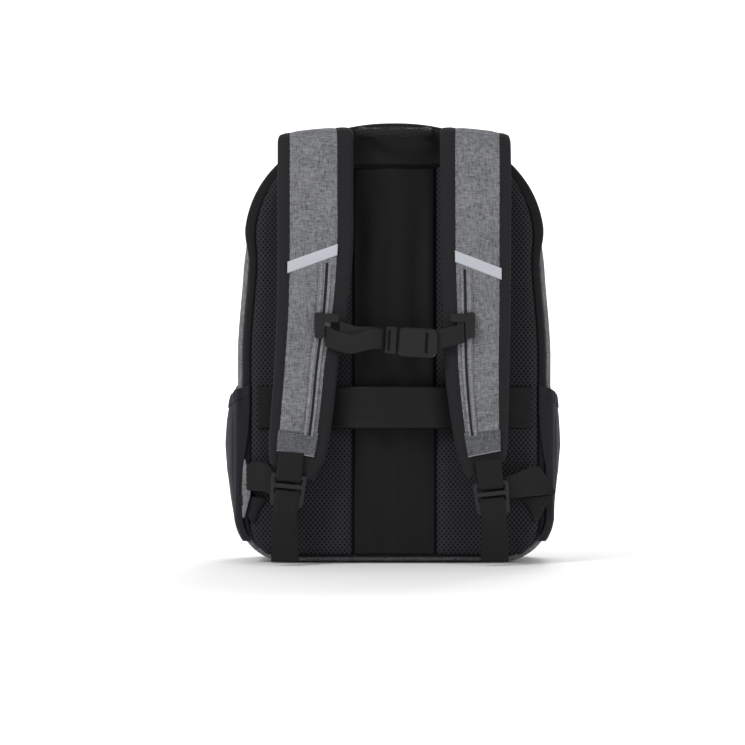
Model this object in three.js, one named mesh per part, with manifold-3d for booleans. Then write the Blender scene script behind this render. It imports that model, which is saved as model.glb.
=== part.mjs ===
// Laptop backpack, standing on its base with the harness side towards -Y.
// Millimetres, +Z up. While the pieces are made, Y = 0 is the plane where the back panel meets
// the body; the whole group is then moved so that the origin is under the middle of its box.

import * as THREE from 'three';
import { mergeVertices } from 'three/addons/utils/BufferGeometryUtils.js';
import Module from 'manifold-3d';

const wasm = await Module();
wasm.setup();

const GAP = 0.3;             // clearance between two pieces that touch
const CLOTH = 2;             // wall of the body and pockets
const WEB = 1.4;             // thickness of webbing

const BODY = {
  height: 450, baseHalf: 108, cornerRise: 50, sideHalf: 161, shoulderHalf: 154,
  taperFrom: 210, shoulderZ: 325, midZ: 200, crown: 8, crownHalf: 133,
};
const BODY_DEPTH = [
  { z: 0, depth: 118 }, { z: 90, depth: 140 }, { z: 220, depth: 144 },
  { z: 330, depth: 126 }, { z: 410, depth: 90 }, { z: 450, depth: 58 },
];
// How far each ring of the body lies in from the silhouette, and its share of the depth.
const BODY_RINGS = [
  { share: 0, inset: 4.5 }, { share: 0.05, inset: 1 }, { share: 0.12, inset: 0 },
  { share: 0.45, inset: 0 }, { share: 0.8, inset: 0 }, { share: 0.92, inset: 6 },
  { share: 0.98, inset: 15 }, { share: 1, inset: 28 },
];
const FRONT_SCALES = [0.72, 0.42, 0.14];   // rings that close a front panel towards its middle
const PANEL = {
  thick: 7, inset: 6, edge: 2, tuck: 3.5, levelFrom: 300, levelTo: 345, drop: 5, dropFrom: 400,
};
const BINDING = { edge: 0.8, thick: 1.4 };
const PAD = { inner: 43, top: 405, sideInset: 15, baseInset: 9, baseFade: 70 };
const PAD_RINGS = [
  { out: 0, inset: 0 }, { out: 4, inset: 0 }, { out: 7.4, inset: 2 }, { out: 9.2, inset: 6 },
  { out: 9.7, inset: 12 },
];
const YOKE = { from: 409, inset: 4, thick: 4.2 };
const CHANNEL = { half: 41.5, low: 9.6, high: 403, thick: 1.6, fold: 1.1, folds: 3 };
const BAND = { half: 139, low: 138, high: 181, thick: 2.4, flatFrom: 104, bow: 15 };
const HANDLE = { half: 33, z: 439, sag: 2, reach: 27, radius: 4.6, knot: 6.2 };
const STRAP = { thick: 9, faceThick: 1.2, outerBand: 12, innerBand: 14 };

// Straps from the yoke seam up, over and down to their ends. outer and inner are the two edges.
const STRAP_LEFT = [
  { y: -18.3, outerX: -112, outerZ: 404, innerX: -46, innerZ: 411 },
  { y: -19.2, outerX: -115, outerZ: 417, innerX: -45, innerZ: 424 },
  { y: -26, outerX: -117, outerZ: 427.5, innerX: -44, innerZ: 436 },
  { y: -36, outerX: -118, outerZ: 426, innerX: -42, innerZ: 434.5 },
  { y: -43, outerX: -118, outerZ: 412, innerX: -41.5, innerZ: 416 },
  { y: -46, outerX: -118, outerZ: 380, innerX: -41.4, innerZ: 380 },
  { y: -48, outerX: -118, outerZ: 320, innerX: -41.6, innerZ: 322 },
  { y: -48, outerX: -118.5, outerZ: 260, innerX: -46.6, innerZ: 262 },
  { y: -47, outerX: -121, outerZ: 205, innerX: -56.2, innerZ: 205 },
  { y: -45, outerX: -125, outerZ: 150, innerX: -62.6, innerZ: 148 },
  { y: -42, outerX: -127, outerZ: 118, innerX: -70, innerZ: 108 },
  { y: -40, outerX: -125, outerZ: 103, innerX: -82, innerZ: 86 },
];
const STRAP_RIGHT = [
  { y: -18.3, outerX: 111, outerZ: 404, innerX: 47, innerZ: 411 },
  { y: -19.2, outerX: 114, outerZ: 417, innerX: 46.5, innerZ: 424 },
  { y: -26, outerX: 116, outerZ: 427.5, innerX: 46, innerZ: 436 },
  { y: -36, outerX: 117, outerZ: 426, innerX: 45.8, innerZ: 434.5 },
  { y: -43, outerX: 117.3, outerZ: 412, innerX: 45.6, innerZ: 416 },
  { y: -46, outerX: 117.3, outerZ: 380, innerX: 45.6, innerZ: 380 },
  { y: -48, outerX: 117, outerZ: 320, innerX: 46, innerZ: 322 },
  { y: -48, outerX: 116.5, outerZ: 260, innerX: 48, innerZ: 262 },
  { y: -47, outerX: 115.5, outerZ: 205, innerX: 49.6, innerZ: 205 },
  { y: -45, outerX: 114.5, outerZ: 150, innerX: 56.5, innerZ: 148 },
  { y: -42, outerX: 113.5, outerZ: 118, innerX: 64.5, innerZ: 108 },
  { y: -40, outerX: 111, outerZ: 106, innerX: 73, innerZ: 89 },
];
const STRAP_STEPS = 26;
const FACE = { from: 0.27, to: 0.955 };    // run of the heather face along a strap
const STRIP = { high: 11.5, rise: 15, thick: 0.7 };
const RAIL = { wide: 12, thick: 1.6 };

const LOCK = { width: 36, height: 33, thick: 3.6, slot: 27, bar: 4.4, slotHigh: 5, tab: 23, tabDrop: 12 };
const LOCKS = [
  { side: 'left', x: -107.7, y: -46.8, z: 76, tilt: -0.1, seam: -1 },
  { side: 'right', x: 97.9, y: -46.8, z: 68.5, tilt: 0.1, seam: 1 },
];
const TAIL = { endY: -41, endZ: 4 };   // where the loose webbing ends, over the base

const BUCKLE = { z: 228, y: -60, plugLeft: -9.5, mouth: 3.2, right: 42.3, high: 29, thick: 11 };

const POCKET = { front: 0.78, sag: 13, columns: 12 };
// reach: how far the wall bows out past the body; lap: how far its back edge laps on to the panel.
const POCKET_ROWS = [
  { z: 23, reach: 2.6, lap: 7 }, { z: 29, reach: 2.7, lap: 6.6 }, { z: 36, reach: 2.9, lap: 6.4 },
  { z: 46, reach: 3.4, lap: 6.3 }, { z: 72, reach: 7, lap: 6.3 }, { z: 100, reach: 12.4, lap: 7 },
  { z: 130, reach: 13.6, lap: 12 }, { z: 158, reach: 12, lap: 14 }, { z: 182, reach: 10, lap: 14 },
];
const MOUTH_BAND = { high: 11, thick: 1.4 };

const MAIN_ZIP = { share: 0.42, wide: 27, thick: 1.2, from: 150 };
const FRONT = { low: 24, high: 244, half: 110, corner: 30, rise: 15, seat: 0.85 };
const FRONT_RINGS = [
  { share: 0, inset: 0 }, { share: 0.5, inset: 0 }, { share: 0.82, inset: 2.5 },
  { share: 0.97, inset: 9 }, { share: 1, inset: 18 },
];

const { clamp, lerp, smoothstep, degToRad } = THREE.MathUtils;
const vec = (x, y, z) => new THREE.Vector3(x, y, z);

// Value of one column of a table at height z, straight between its rows.
function columnAt(table, column, z) {
  let below = 0;
  while (below < table.length - 2 && table[below + 1].z < z) below += 1;
  const [low, high] = [table[below], table[below + 1]];
  return lerp(low[column], high[column], clamp((z - low.z) / (high.z - low.z), 0, 1));
}

// Closed body from points and triangles, turned so that its faces point out.
function solid(points, triangles) {
  let volume = 0;
  for (const [a, b, c] of triangles) {
    volume += points[a].dot(points[b].clone().cross(points[c]));
  }
  const faces = volume < 0 ? triangles.map(([a, b, c]) => [a, c, b]) : triangles;
  const geometry = new THREE.BufferGeometry().setFromPoints(points);
  geometry.setIndex(faces.flat());
  geometry.computeVertexNormals();
  return geometry;
}

// Rings of equal count joined one after another, each end closed by a fan to its middle.
function loft(rings) {
  const count = rings[0].length;
  const points = rings.flat();
  const triangles = [];
  for (let r = 0; r < rings.length - 1; r += 1) {
    for (let i = 0; i < count; i += 1) {
      const [a, b] = [r * count + i, r * count + (i + 1) % count];
      triangles.push([a, b, b + count], [a, b + count, a + count]);
    }
  }
  for (const [ring, turned] of [[0, true], [rings.length - 1, false]]) {
    const middle = rings[ring].reduce((sum, p) => sum.add(p), vec(0, 0, 0)).divideScalar(count);
    const hub = points.push(middle) - 1;
    for (let i = 0; i < count; i += 1) {
      const [a, b] = [ring * count + i, ring * count + (i + 1) % count];
      triangles.push(turned ? [hub, b, a] : [hub, a, b]);
    }
  }
  return solid(points, triangles);
}

// Sheet between two grids of the same size, closed round its four edges.
function slab(front, back) {
  const [rows, columns] = [front.length, front[0].length];
  const points = [...front.flat(), ...back.flat()];
  const under = rows * columns;
  const triangles = [];
  const quad = (a, b, c, d) => triangles.push([a, b, c], [a, c, d]);
  for (let r = 0; r < rows - 1; r += 1) {
    for (let c = 0; c < columns - 1; c += 1) {
      const a = r * columns + c;
      quad(a, a + 1, a + columns + 1, a + columns);
      quad(under + a, under + a + columns, under + a + columns + 1, under + a + 1);
    }
  }
  const edge = (a, b) => quad(b, a, under + a, under + b);
  for (let c = 0; c < columns - 1; c += 1) {
    edge(c, c + 1);
    edge((rows - 1) * columns + c + 1, (rows - 1) * columns + c);
  }
  for (let r = 0; r < rows - 1; r += 1) {
    edge((r + 1) * columns, r * columns);
    edge((r + 1) * columns - 1, (r + 2) * columns - 1);
  }
  return solid(points, triangles);
}

// Half width of the back view's silhouette along the straight sides.
function sideHalf(z) {
  const drop = BODY.sideHalf - BODY.shoulderHalf;
  return BODY.sideHalf - drop * smoothstep(z, BODY.taperFrom, BODY.shoulderZ);
}

// Half width of the silhouette at any height: rounded corner, side, or elliptical arch.
function halfAt(z) {
  if (z < BODY.cornerRise) {
    const fall = 1 - z / BODY.cornerRise;
    const reach = sideHalf(BODY.cornerRise) - BODY.baseHalf;
    return BODY.baseHalf + reach * Math.sqrt(1 - fall * fall);
  }
  const rise = Math.max(0, (z - BODY.shoulderZ) / (BODY.height - BODY.shoulderZ));
  return sideHalf(z) * Math.sqrt(Math.max(0, 1 - rise * rise));
}

// Silhouette as points (x, z), from the middle of the base round by +X and the top.
function silhouette() {
  const [baseSteps, cornerSteps, sideSteps, archSteps] = [3, 6, 6, 10];
  const half = [];
  for (let i = 0; i <= baseSteps; i += 1) half.push([BODY.baseHalf * i / baseSteps, 0]);
  for (let i = 1; i <= cornerSteps; i += 1) {
    const turn = Math.PI / 2 * i / cornerSteps;
    const reach = sideHalf(BODY.cornerRise) - BODY.baseHalf;
    half.push([BODY.baseHalf + reach * Math.sin(turn), BODY.cornerRise * (1 - Math.cos(turn))]);
  }
  for (let i = 1; i <= sideSteps; i += 1) {
    const z = lerp(BODY.cornerRise, BODY.shoulderZ, i / sideSteps);
    half.push([sideHalf(z), z]);
  }
  for (let i = 1; i <= archSteps; i += 1) {
    const turn = Math.PI / 2 * i / archSteps;
    const rise = BODY.height - BODY.shoulderZ;
    half.push([BODY.shoulderHalf * Math.cos(turn), BODY.shoulderZ + rise * Math.sin(turn)]);
  }
  const mirrored = half.slice(1, -1).reverse().map(([x, z]) => [-x, z]);
  return [...half, ...mirrored].map(([x, z]) => new THREE.Vector2(x, z));
}

// Outline moved inwards, at each point along its own normal, by insetAt(z).
function insetOutline(outline, insetAt) {
  const count = outline.length;
  return outline.map((point, i) => {
    const along = outline[(i + 1) % count].clone().sub(outline[(i + count - 1) % count]).normalize();
    const inward = new THREE.Vector2(-along.y, along.x);
    return point.clone().addScaledVector(inward, insetAt(point.y));
  });
}

const OUTLINE = silhouette();

// The panel reaches the silhouette at the top, where the body is tucked in behind it.
const topShare = (z) => smoothstep(z, PANEL.levelFrom, PANEL.levelTo);
const bodyTuck = (z) => (
  PANEL.tuck * topShare(z) + PANEL.drop * smoothstep(z, PANEL.dropFrom, BODY.height)
);
const panelInset = (z) => PANEL.inset * (1 - topShare(z)) + 0.6;

// Depth of the body's front face over a point of the back view.
function frontDepth(x, z) {
  const crown = BODY.crown * (1 - (x / BODY.crownHalf) ** 2);
  return columnAt(BODY_DEPTH, 'depth', z) + crown;
}

// Hollow tub with one open side: an outer skin of rings, a rim, and the same skin a wall inside.
function tub(outline, rings, extraInset, seat, rise, middleZ) {
  const skin = (wall) => {
    const place = (p, share) => vec(p.x, seat(p.x, p.y) + share * (rise(p.x, p.y) - wall), p.y);
    const walls = rings.map((row) => {
      const ring = insetOutline(outline, (z) => row.inset + wall + extraInset(z));
      return { ring, share: row.share };
    });
    const last = walls[walls.length - 1];
    const middle = new THREE.Vector2(0, middleZ);
    const fronts = FRONT_SCALES.map((scale) => (
      { ring: last.ring.map((p) => p.clone().sub(middle).multiplyScalar(scale).add(middle)), share: 1 }
    ));
    return [...walls, ...fronts].map(({ ring, share }) => ring.map((p) => place(p, share)));
  };
  return loft([...skin(CLOTH).reverse(), ...skin(0)]);
}

const bodyShell = () => tub(OUTLINE, BODY_RINGS, bodyTuck, () => 0, frontDepth, BODY.midZ);

// Padded piece that lies on the back panel: rings of an outline, each further out along -Y.
function puff(outline, rings, seatY) {
  return loft(rings.map(({ out, inset }) => (
    insetOutline(outline, () => inset).map((p) => vec(p.x, seatY - out, p.y))
  )));
}

function backBoard() {
  const outline = insetOutline(OUTLINE, panelInset);
  const rings = [
    { out: 0, inset: 0 }, { out: PANEL.thick - PANEL.edge, inset: 0 },
    { out: PANEL.thick, inset: PANEL.edge },
  ];
  return puff(outline, rings, -GAP);
}

const PANEL_FACE = -GAP - PANEL.thick;       // outer face of the back panel
const PAD_SEAT = PANEL_FACE - GAP;
const PAD_FACE = PAD_SEAT - PAD_RINGS[PAD_RINGS.length - 1].out;

// Inset of the pads' outer edge from the silhouette: less along the base and under the yoke.
function padInset(z) {
  const base = 1 - smoothstep(z, 0, PAD.baseFade);
  return lerp(PAD.sideInset, PAD.baseInset, base) - 3 * topShare(z);
}

// Flat tape between the panel's rim and the pads, closed on itself.
function panelBinding() {
  const outer = insetOutline(OUTLINE, (z) => panelInset(z) + BINDING.edge);
  const inner = insetOutline(OUTLINE, (z) => padInset(z) - BINDING.edge);
  const [near, far] = [PAD_SEAT - BINDING.thick, PAD_SEAT];
  const sections = [[outer, far], [outer, near], [inner, near], [inner, far]];
  const count = OUTLINE.length;
  const points = sections.flatMap(([ring, y]) => ring.map((p) => vec(p.x, y, p.y)));
  const triangles = [];
  for (let s = 0; s < sections.length; s += 1) {
    const next = (s + 1) % sections.length;
    for (let i = 0; i < count; i += 1) {
      const j = (i + 1) % count;
      const [a, b, c, d] = [s * count + i, s * count + j, next * count + j, next * count + i];
      triangles.push([a, b, c], [a, c, d]);
    }
  }
  return solid(points, triangles);
}

// Right-hand pad: the panel's outline from the base to the top of the pad, closed by the channel edge.
function backPad(sign) {
  const ring = insetOutline(OUTLINE, padInset).filter((p) => p.x > PAD.inner + 4 && p.y < PAD.top);
  const corner = 5;
  const [low, top] = [ring[0].y, ring[ring.length - 1].y];
  const outline = [
    new THREE.Vector2(PAD.inner + corner, low), ...ring,
    new THREE.Vector2(PAD.inner + corner, top + 2), new THREE.Vector2(PAD.inner, top - corner),
    new THREE.Vector2(PAD.inner, lerp(top, low, 0.33)), new THREE.Vector2(PAD.inner, lerp(top, low, 0.66)),
    new THREE.Vector2(PAD.inner, low + corner),
  ];
  const pad = puff(outline, PAD_RINGS, PAD_SEAT);
  return sign < 0 ? mirrored(pad) : pad;
}

// The same body on the other side of the YZ plane.
function mirrored(geometry) {
  const position = geometry.getAttribute('position');
  const points = [];
  for (let i = 0; i < position.count; i += 1) {
    points.push(vec(-position.getX(i), position.getY(i), position.getZ(i)));
  }
  const index = Array.from(geometry.index.array);
  const triangles = [];
  for (let i = 0; i < index.length; i += 3) triangles.push(index.slice(i, i + 3));
  return solid(points, triangles);
}

function yokePanel() {
  const arch = insetOutline(OUTLINE, (z) => panelInset(z) + YOKE.inset).filter((p) => p.y > YOKE.from);
  const ends = [arch[arch.length - 1], arch[0]].map((p) => new THREE.Vector2(p.x, YOKE.from - 2));
  const outline = [...arch, ...ends];
  const rings = [
    { out: 0, inset: 0 }, { out: YOKE.thick * 0.6, inset: 0 }, { out: YOKE.thick, inset: 2 },
  ];
  return puff(outline, rings, PAD_SEAT - BINDING.thick - GAP);
}

function centreChannel() {
  const [rows, columns] = [5, 13];
  const grid = (y, fold) => Array.from({ length: rows + 1 }, (_, r) => (
    Array.from({ length: columns }, (__, c) => {
      const across = c / (columns - 1);
      const wave = Math.sin(Math.PI * 2 * CHANNEL.folds * across + r / rows) * Math.sin(Math.PI * across);
      const x = lerp(-CHANNEL.half, CHANNEL.half, across);
      return vec(x, y - fold * (1 + wave), lerp(CHANNEL.low, CHANNEL.high, r / rows));
    })
  ));
  return slab(grid(PAD_SEAT - CHANNEL.thick, CHANNEL.fold), grid(PAD_SEAT, 0));
}

// Strip between two edge curves given by a table. window is its part of the run (from, to) and of
// the width (left, right) in shares, lift its stand-off, and round thins the sheet at its edges.
function strip(table, window, thickness, lift, steps, columns, round = 0) {
  const edges = ['outer', 'inner'].map((edge) => (
    new THREE.CatmullRomCurve3(table.map((row) => vec(row[`${edge}X`], row.y, row[`${edge}Z`])))
  ));
  const at = (run) => edges.map((edge) => edge.getPoint(run));
  const outAt = (run) => {
    const [outer, inner] = at(run);
    const [before, after] = [at(Math.max(0, run - 0.01)), at(Math.min(1, run + 0.01))];
    const along = after[0].clone().add(after[1]).sub(before[0]).sub(before[1]);
    return along.cross(inner.clone().sub(outer)).normalize();
  };
  const facing = outAt(1).y < 0 ? 1 : -1;
  const grid = (above) => Array.from({ length: steps + 1 }, (_, s) => {
    const run = lerp(window.from, window.to, s / steps);
    const [outer, inner] = at(run);
    const out = outAt(run).multiplyScalar(facing);
    return Array.from({ length: columns + 1 }, (__, c) => {
      const share = c / columns;
      const full = 1 - round * Math.abs(2 * share - 1) ** 6;
      const point = outer.clone().lerp(inner, lerp(window.left, window.right, share));
      return point.addScaledVector(out, lift + (above ? 0.5 : -0.5) * thickness * full);
    });
  });
  return slab(grid(true), grid(false));
}

const WHOLE = { from: 0, to: 1, left: 0, right: 1 };
const strapPad = (table) => strip(table, WHOLE, STRAP.thick, 0, STRAP_STEPS, 6, 0.65);
const FACE_LIFT = STRAP.thick / 2 + GAP + STRAP.faceThick / 2;
const RAIL_LIFT = FACE_LIFT + STRAP.faceThick / 2 + GAP + RAIL.thick / 2;

// Width of a strap at a share of its run, to turn millimetres into shares of the width.
function strapWidth(table, run) {
  const row = table[Math.round(run * (table.length - 1))];
  return Math.abs(row.innerX - row.outerX);
}

function strapFace(table) {
  const window = {
    from: FACE.from, to: FACE.to,
    left: STRAP.outerBand / strapWidth(table, 0.5), right: 1 - STRAP.innerBand / strapWidth(table, 0.5),
  };
  return strip(table, window, STRAP.faceThick, FACE_LIFT, 19, 2);
}

// Run along a strap, from its root, at which its middle reaches height z on the wearer's side.
function runAt(table, z) {
  const crest = 3;
  for (let i = crest; i < table.length - 1; i += 1) {
    const [high, low] = [table[i], table[i + 1]].map((row) => (row.outerZ + row.innerZ) / 2);
    if (z <= high && z >= low) return (i + (high - z) / (high - low)) / (table.length - 1);
  }
  return 1;
}

// Reflective strip across the face: a skewed piece of the strap's surface, its inner end higher.
function strapReflector(table, z) {
  const skewed = table.map((row) => ({
    ...row, outerZ: row.outerZ - STRIP.rise / 2, innerZ: row.innerZ + STRIP.rise / 2,
  }));
  const window = {
    from: runAt(table, z + STRIP.high / 2), to: runAt(table, z - STRIP.high / 2),
    left: STRAP.outerBand / strapWidth(table, 0.5) + 0.01, right: REFLECTOR_RIGHT,
  };
  const lift = FACE_LIFT + STRAP.faceThick / 2 + GAP + STRIP.thick / 2;
  return strip(skewed, window, STRIP.thick, lift, 2, 6);
}

const REFLECTOR_RIGHT = 0.79;
const RAIL_RUN = { top: 286, bottom: 134, left: 0.62, right: 0.79 };

function strapRail(table) {
  const window = {
    from: runAt(table, RAIL_RUN.top), to: runAt(table, RAIL_RUN.bottom),
    left: RAIL_RUN.left, right: RAIL_RUN.right,
  };
  return strip(table, window, RAIL.thick, RAIL_LIFT, 8, 2);
}

// Webbing as a strip between two edges; rows run from one end of the webbing to the other.
const webbing = (table, steps) => strip(table, WHOLE, WEB, 0, steps, 1);

function luggageBand() {
  const columns = 24;
  const y = (x) => {
    const share = clamp((BAND.flatFrom - Math.abs(x)) / BAND.flatFrom, 0, 1);
    return PAD_FACE - GAP - BAND.bow * Math.sin(Math.PI / 2 * share) ** 1.5;
  };
  const grid = (out) => [BAND.low, (BAND.low + BAND.high) / 2, BAND.high].map((z) => (
    Array.from({ length: columns + 1 }, (_, c) => {
      const x = lerp(-BAND.half, BAND.half, c / columns);
      return vec(x, y(x) - out, z);
    })
  ));
  return slab(grid(BAND.thick), grid(0));
}

function grabHandle() {
  const [steps, sides] = [16, 10];
  const seat = PAD_SEAT - BINDING.thick - GAP - YOKE.thick - GAP;
  const rings = Array.from({ length: steps + 1 }, (_, s) => {
    const turn = Math.PI * s / steps;
    const knot = Math.exp(-((Math.min(s, steps - s) / 1.6) ** 2));
    const radius = lerp(HANDLE.radius, HANDLE.knot, knot);
    const middle = vec(
      -HANDLE.half * Math.cos(turn), seat - HANDLE.reach * Math.sin(turn) ** 0.8,
      HANDLE.z - HANDLE.sag * Math.sin(turn),
    );
    const along = vec(Math.sin(turn), -0.8 * Math.cos(turn), 0).normalize();
    const across = vec(-along.y, along.x, 0);
    return Array.from({ length: sides }, (__, i) => {
      const angle = 2 * Math.PI * i / sides;
      return middle.clone().addScaledVector(across, radius * Math.cos(angle))
        .add(vec(0, 0, radius * Math.sin(angle)));
    });
  });
  return loft(rings);
}

// Flat moulded plate drawn in the back view, with softened edges, its middle at y.
function moulded(shape, thick, y, edge = 0.6) {
  const geometry = new THREE.ExtrudeGeometry(shape, {
    depth: thick - 2 * edge, bevelEnabled: true, bevelThickness: edge, bevelSize: edge,
    bevelOffset: -edge, bevelSegments: 1, curveSegments: 3,
  });
  geometry.translate(0, 0, edge);
  geometry.rotateX(Math.PI / 2);
  geometry.translate(0, y + thick / 2, 0);
  return geometry;
}

function roundedRect(x, z, width, height, radius) {
  const path = new THREE.Shape();
  path.moveTo(x + radius, z);
  path.lineTo(x + width - radius, z);
  path.quadraticCurveTo(x + width, z, x + width, z + radius);
  path.lineTo(x + width, z + height - radius);
  path.quadraticCurveTo(x + width, z + height, x + width - radius, z + height);
  path.lineTo(x + radius, z + height);
  path.quadraticCurveTo(x, z + height, x, z + height - radius);
  path.lineTo(x, z + radius);
  path.quadraticCurveTo(x, z, x + radius, z);
  return path;
}

// Ladder lock: a frame of three bars round two slots, with a thumb tab below.
function ladderLock() {
  const { width, height, tab, tabDrop, slot, slotHigh, bar } = LOCK;
  const [right, top, low] = [width / 2, height / 2, -height / 2];
  const shape = new THREE.Shape();
  shape.moveTo(-right + 2, top);
  shape.lineTo(right - 2, top);
  shape.quadraticCurveTo(right, top, right, top - 3);
  shape.lineTo(right - 1.5, low + 4);
  shape.quadraticCurveTo(right - 2, low, tab / 2, low);
  shape.quadraticCurveTo(tab / 2, low - tabDrop, 0, low - tabDrop);
  shape.quadraticCurveTo(-tab / 2, low - tabDrop, -tab / 2, low);
  shape.quadraticCurveTo(-right + 2, low, -right + 1.5, low + 4);
  shape.lineTo(-right, top - 3);
  shape.quadraticCurveTo(-right, top, -right + 2, top);
  const upper = top - bar - slotHigh;
  const lower = upper - bar - slotHigh - 1;
  for (const z of [upper, lower]) shape.holes.push(roundedRect(-slot / 2, z, slot, slotHigh, 1));
  return moulded(shape, LOCK.thick, 0);
}

// Points of a lock's own plan, turned with its tilt, to rows of a webbing strip.
function lockRows(lock, rows) {
  const turned = (u, v) => [
    lock.x + u * Math.cos(lock.tilt) - v * Math.sin(lock.tilt),
    lock.z + u * Math.sin(lock.tilt) + v * Math.cos(lock.tilt),
  ];
  return rows.map(({ half, v, y }) => {
    const [outerX, outerZ] = turned(lock.seam * half, v);
    const [innerX, innerZ] = turned(-lock.seam * half, v);
    return { y: lock.y + y, outerX, outerZ, innerX, innerZ };
  });
}

// Webbing loop from the strap's end round the top bar of the lock.
function strapTab(lock) {
  const behind = LOCK.thick / 2 + GAP + WEB / 2;
  const slotMiddle = LOCK.height / 2 - LOCK.bar - LOCK.slotHigh / 2;
  return webbing(lockRows(lock, [
    { half: 13, v: 39, y: 0.7 - behind }, { half: 13, v: 27, y: 0.4 - behind }, { half: 12.6, v: 15, y: -behind },
    { half: 12.6, v: slotMiddle + 1, y: -behind },
    { half: 12.6, v: slotMiddle - 0.4, y: -1 }, { half: 12.6, v: slotMiddle - 0.2, y: 1 },
    { half: 12.6, v: slotMiddle + 1, y: behind + 0.1 }, { half: 12.6, v: 14, y: behind + 0.1 },
  ]), 18);
}

// Loose end: out of the lower slot, over the bottom bar and straight down.
function webTail(lock) {
  const ahead = LOCK.thick / 2 + GAP + WEB / 2;
  const slotMiddle = LOCK.height / 2 - 2 * LOCK.bar - 1.5 * LOCK.slotHigh - 1;
  const rows = lockRows(lock, [
    { half: 12.5, v: slotMiddle + 0.6, y: 0 }, { half: 12.5, v: slotMiddle - 0.4, y: -ahead + 0.2 },
    { half: 12.5, v: slotMiddle - 4, y: -ahead - 0.2 }, { half: 12.5, v: -LOCK.height / 2 - 12, y: -ahead - 0.6 },
  ]);
  const last = rows[rows.length - 1];
  const middle = (last.outerX + last.innerX) / 2;
  const hang = [0.35, 0.7, 1].map((share) => ({
    y: lerp(last.y, TAIL.endY, share),
    outerX: middle + lock.seam * 14, outerZ: lerp(last.outerZ, TAIL.endZ, share),
    innerX: middle - lock.seam * 14, innerZ: lerp(last.innerZ, TAIL.endZ, share),
  }));
  return webbing([...rows, ...hang], 16);
}

const WING_Y = PAD_FACE - GAP - CLOTH / 2;

// Adjusting webbing from behind the lock out to the side seam, where it narrows to a point.
function adjustWeb(lock) {
  const behind = lock.y + LOCK.thick / 2 + 2 * (GAP + WEB) + 0.1 - WEB / 2;
  const seam = lock.seam;
  const row = (y, x, upper, lower) => ({
    y, outerX: seam * x, outerZ: upper, innerX: seam * x, innerZ: lower,
  });
  return webbing([
    row(behind, Math.abs(lock.x) - 8, 89, 68), row(behind + 0.6, 116, 91, 68),
    row(-36, 130, 96.5, 69), row(-27, 145, 100, 70), row(WING_Y - 2.6, 156, 85.5, 71),
    row(WING_Y - 1, 163, 75, 71.6),
  ], 12);
}

// Sewn triangle below the webbing's end, with its point at the side seam.
function anchorWing(sign) {
  const row = (x, y, upper, lower) => ({
    y, outerX: sign * x, outerZ: upper, innerX: sign * x, innerZ: lower,
  });
  return strip([
    row(131, WING_Y, 67.5, 66.5), row(137.5, WING_Y, 68, 55), row(144, WING_Y, 68.7, 43),
    row(152.5, WING_Y + 1.4, 69.4, 56.5), row(161, WING_Y + 3, 70.2, 69.2),
  ], WHOLE, CLOTH, 0, 8, 1);
}

// Slider on a strap's rail, with the arm that holds the sternum webbing, drawn for one side.
function railClip(sign, y) {
  const plate = roundedRect(70.5, 229, 10, 26, 2.5);
  const arm = roundedRect(55.5, 245, 18, 9, 2.5);
  const joined = cutOrJoin(moulded(plate, 4, y), moulded(arm, 3.2, y), 'add');
  return sign < 0 ? mirrored(joined) : joined;
}

function manifoldOf(geometry) {
  const plain = geometry.clone();
  plain.deleteAttribute('normal');
  if (plain.hasAttribute('uv')) plain.deleteAttribute('uv');
  const merged = mergeVertices(plain, 1e-4);
  return new wasm.Manifold(new wasm.Mesh({
    numProp: 3,
    vertProperties: new Float32Array(merged.getAttribute('position').array),
    triVerts: new Uint32Array(merged.index.array),
  }));
}

// One closed body joined to, or cut by, another.
function cutOrJoin(geometry, other, action) {
  const mesh = manifoldOf(geometry)[action](manifoldOf(other)).getMesh();
  const result = new THREE.BufferGeometry();
  result.setAttribute('position', new THREE.BufferAttribute(new Float32Array(mesh.vertProperties), 3));
  result.setIndex(new THREE.BufferAttribute(new Uint32Array(mesh.triVerts), 1));
  result.computeVertexNormals();
  return result;
}

// Female half: a flat sleeve, open towards the plug, with a window on each edge for the prongs.
function buckleSocket() {
  const { mouth, right, high, thick, y } = BUCKLE;
  const length = right - mouth;
  const sleeve = moulded(roundedRect(mouth, -high / 2, length, high, 6), thick, y, 1.6);
  const hollow = new THREE.BoxGeometry(24, thick - 4.4, high - 6).translate(mouth + 11, y, 0);
  const window = new THREE.BoxGeometry(13, thick - 5.4, high + 10).translate(mouth + 12, y, 0);
  const slot = new THREE.BoxGeometry(3.2, thick + 10, 21).translate(mouth + 28.5, y, 0);
  return [hollow, window, slot].reduce((body, tool) => cutOrJoin(body, tool, 'subtract'), sleeve)
    .rotateY(degToRad(3)).translate(0, 0, BUCKLE.z - 2);
}

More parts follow.
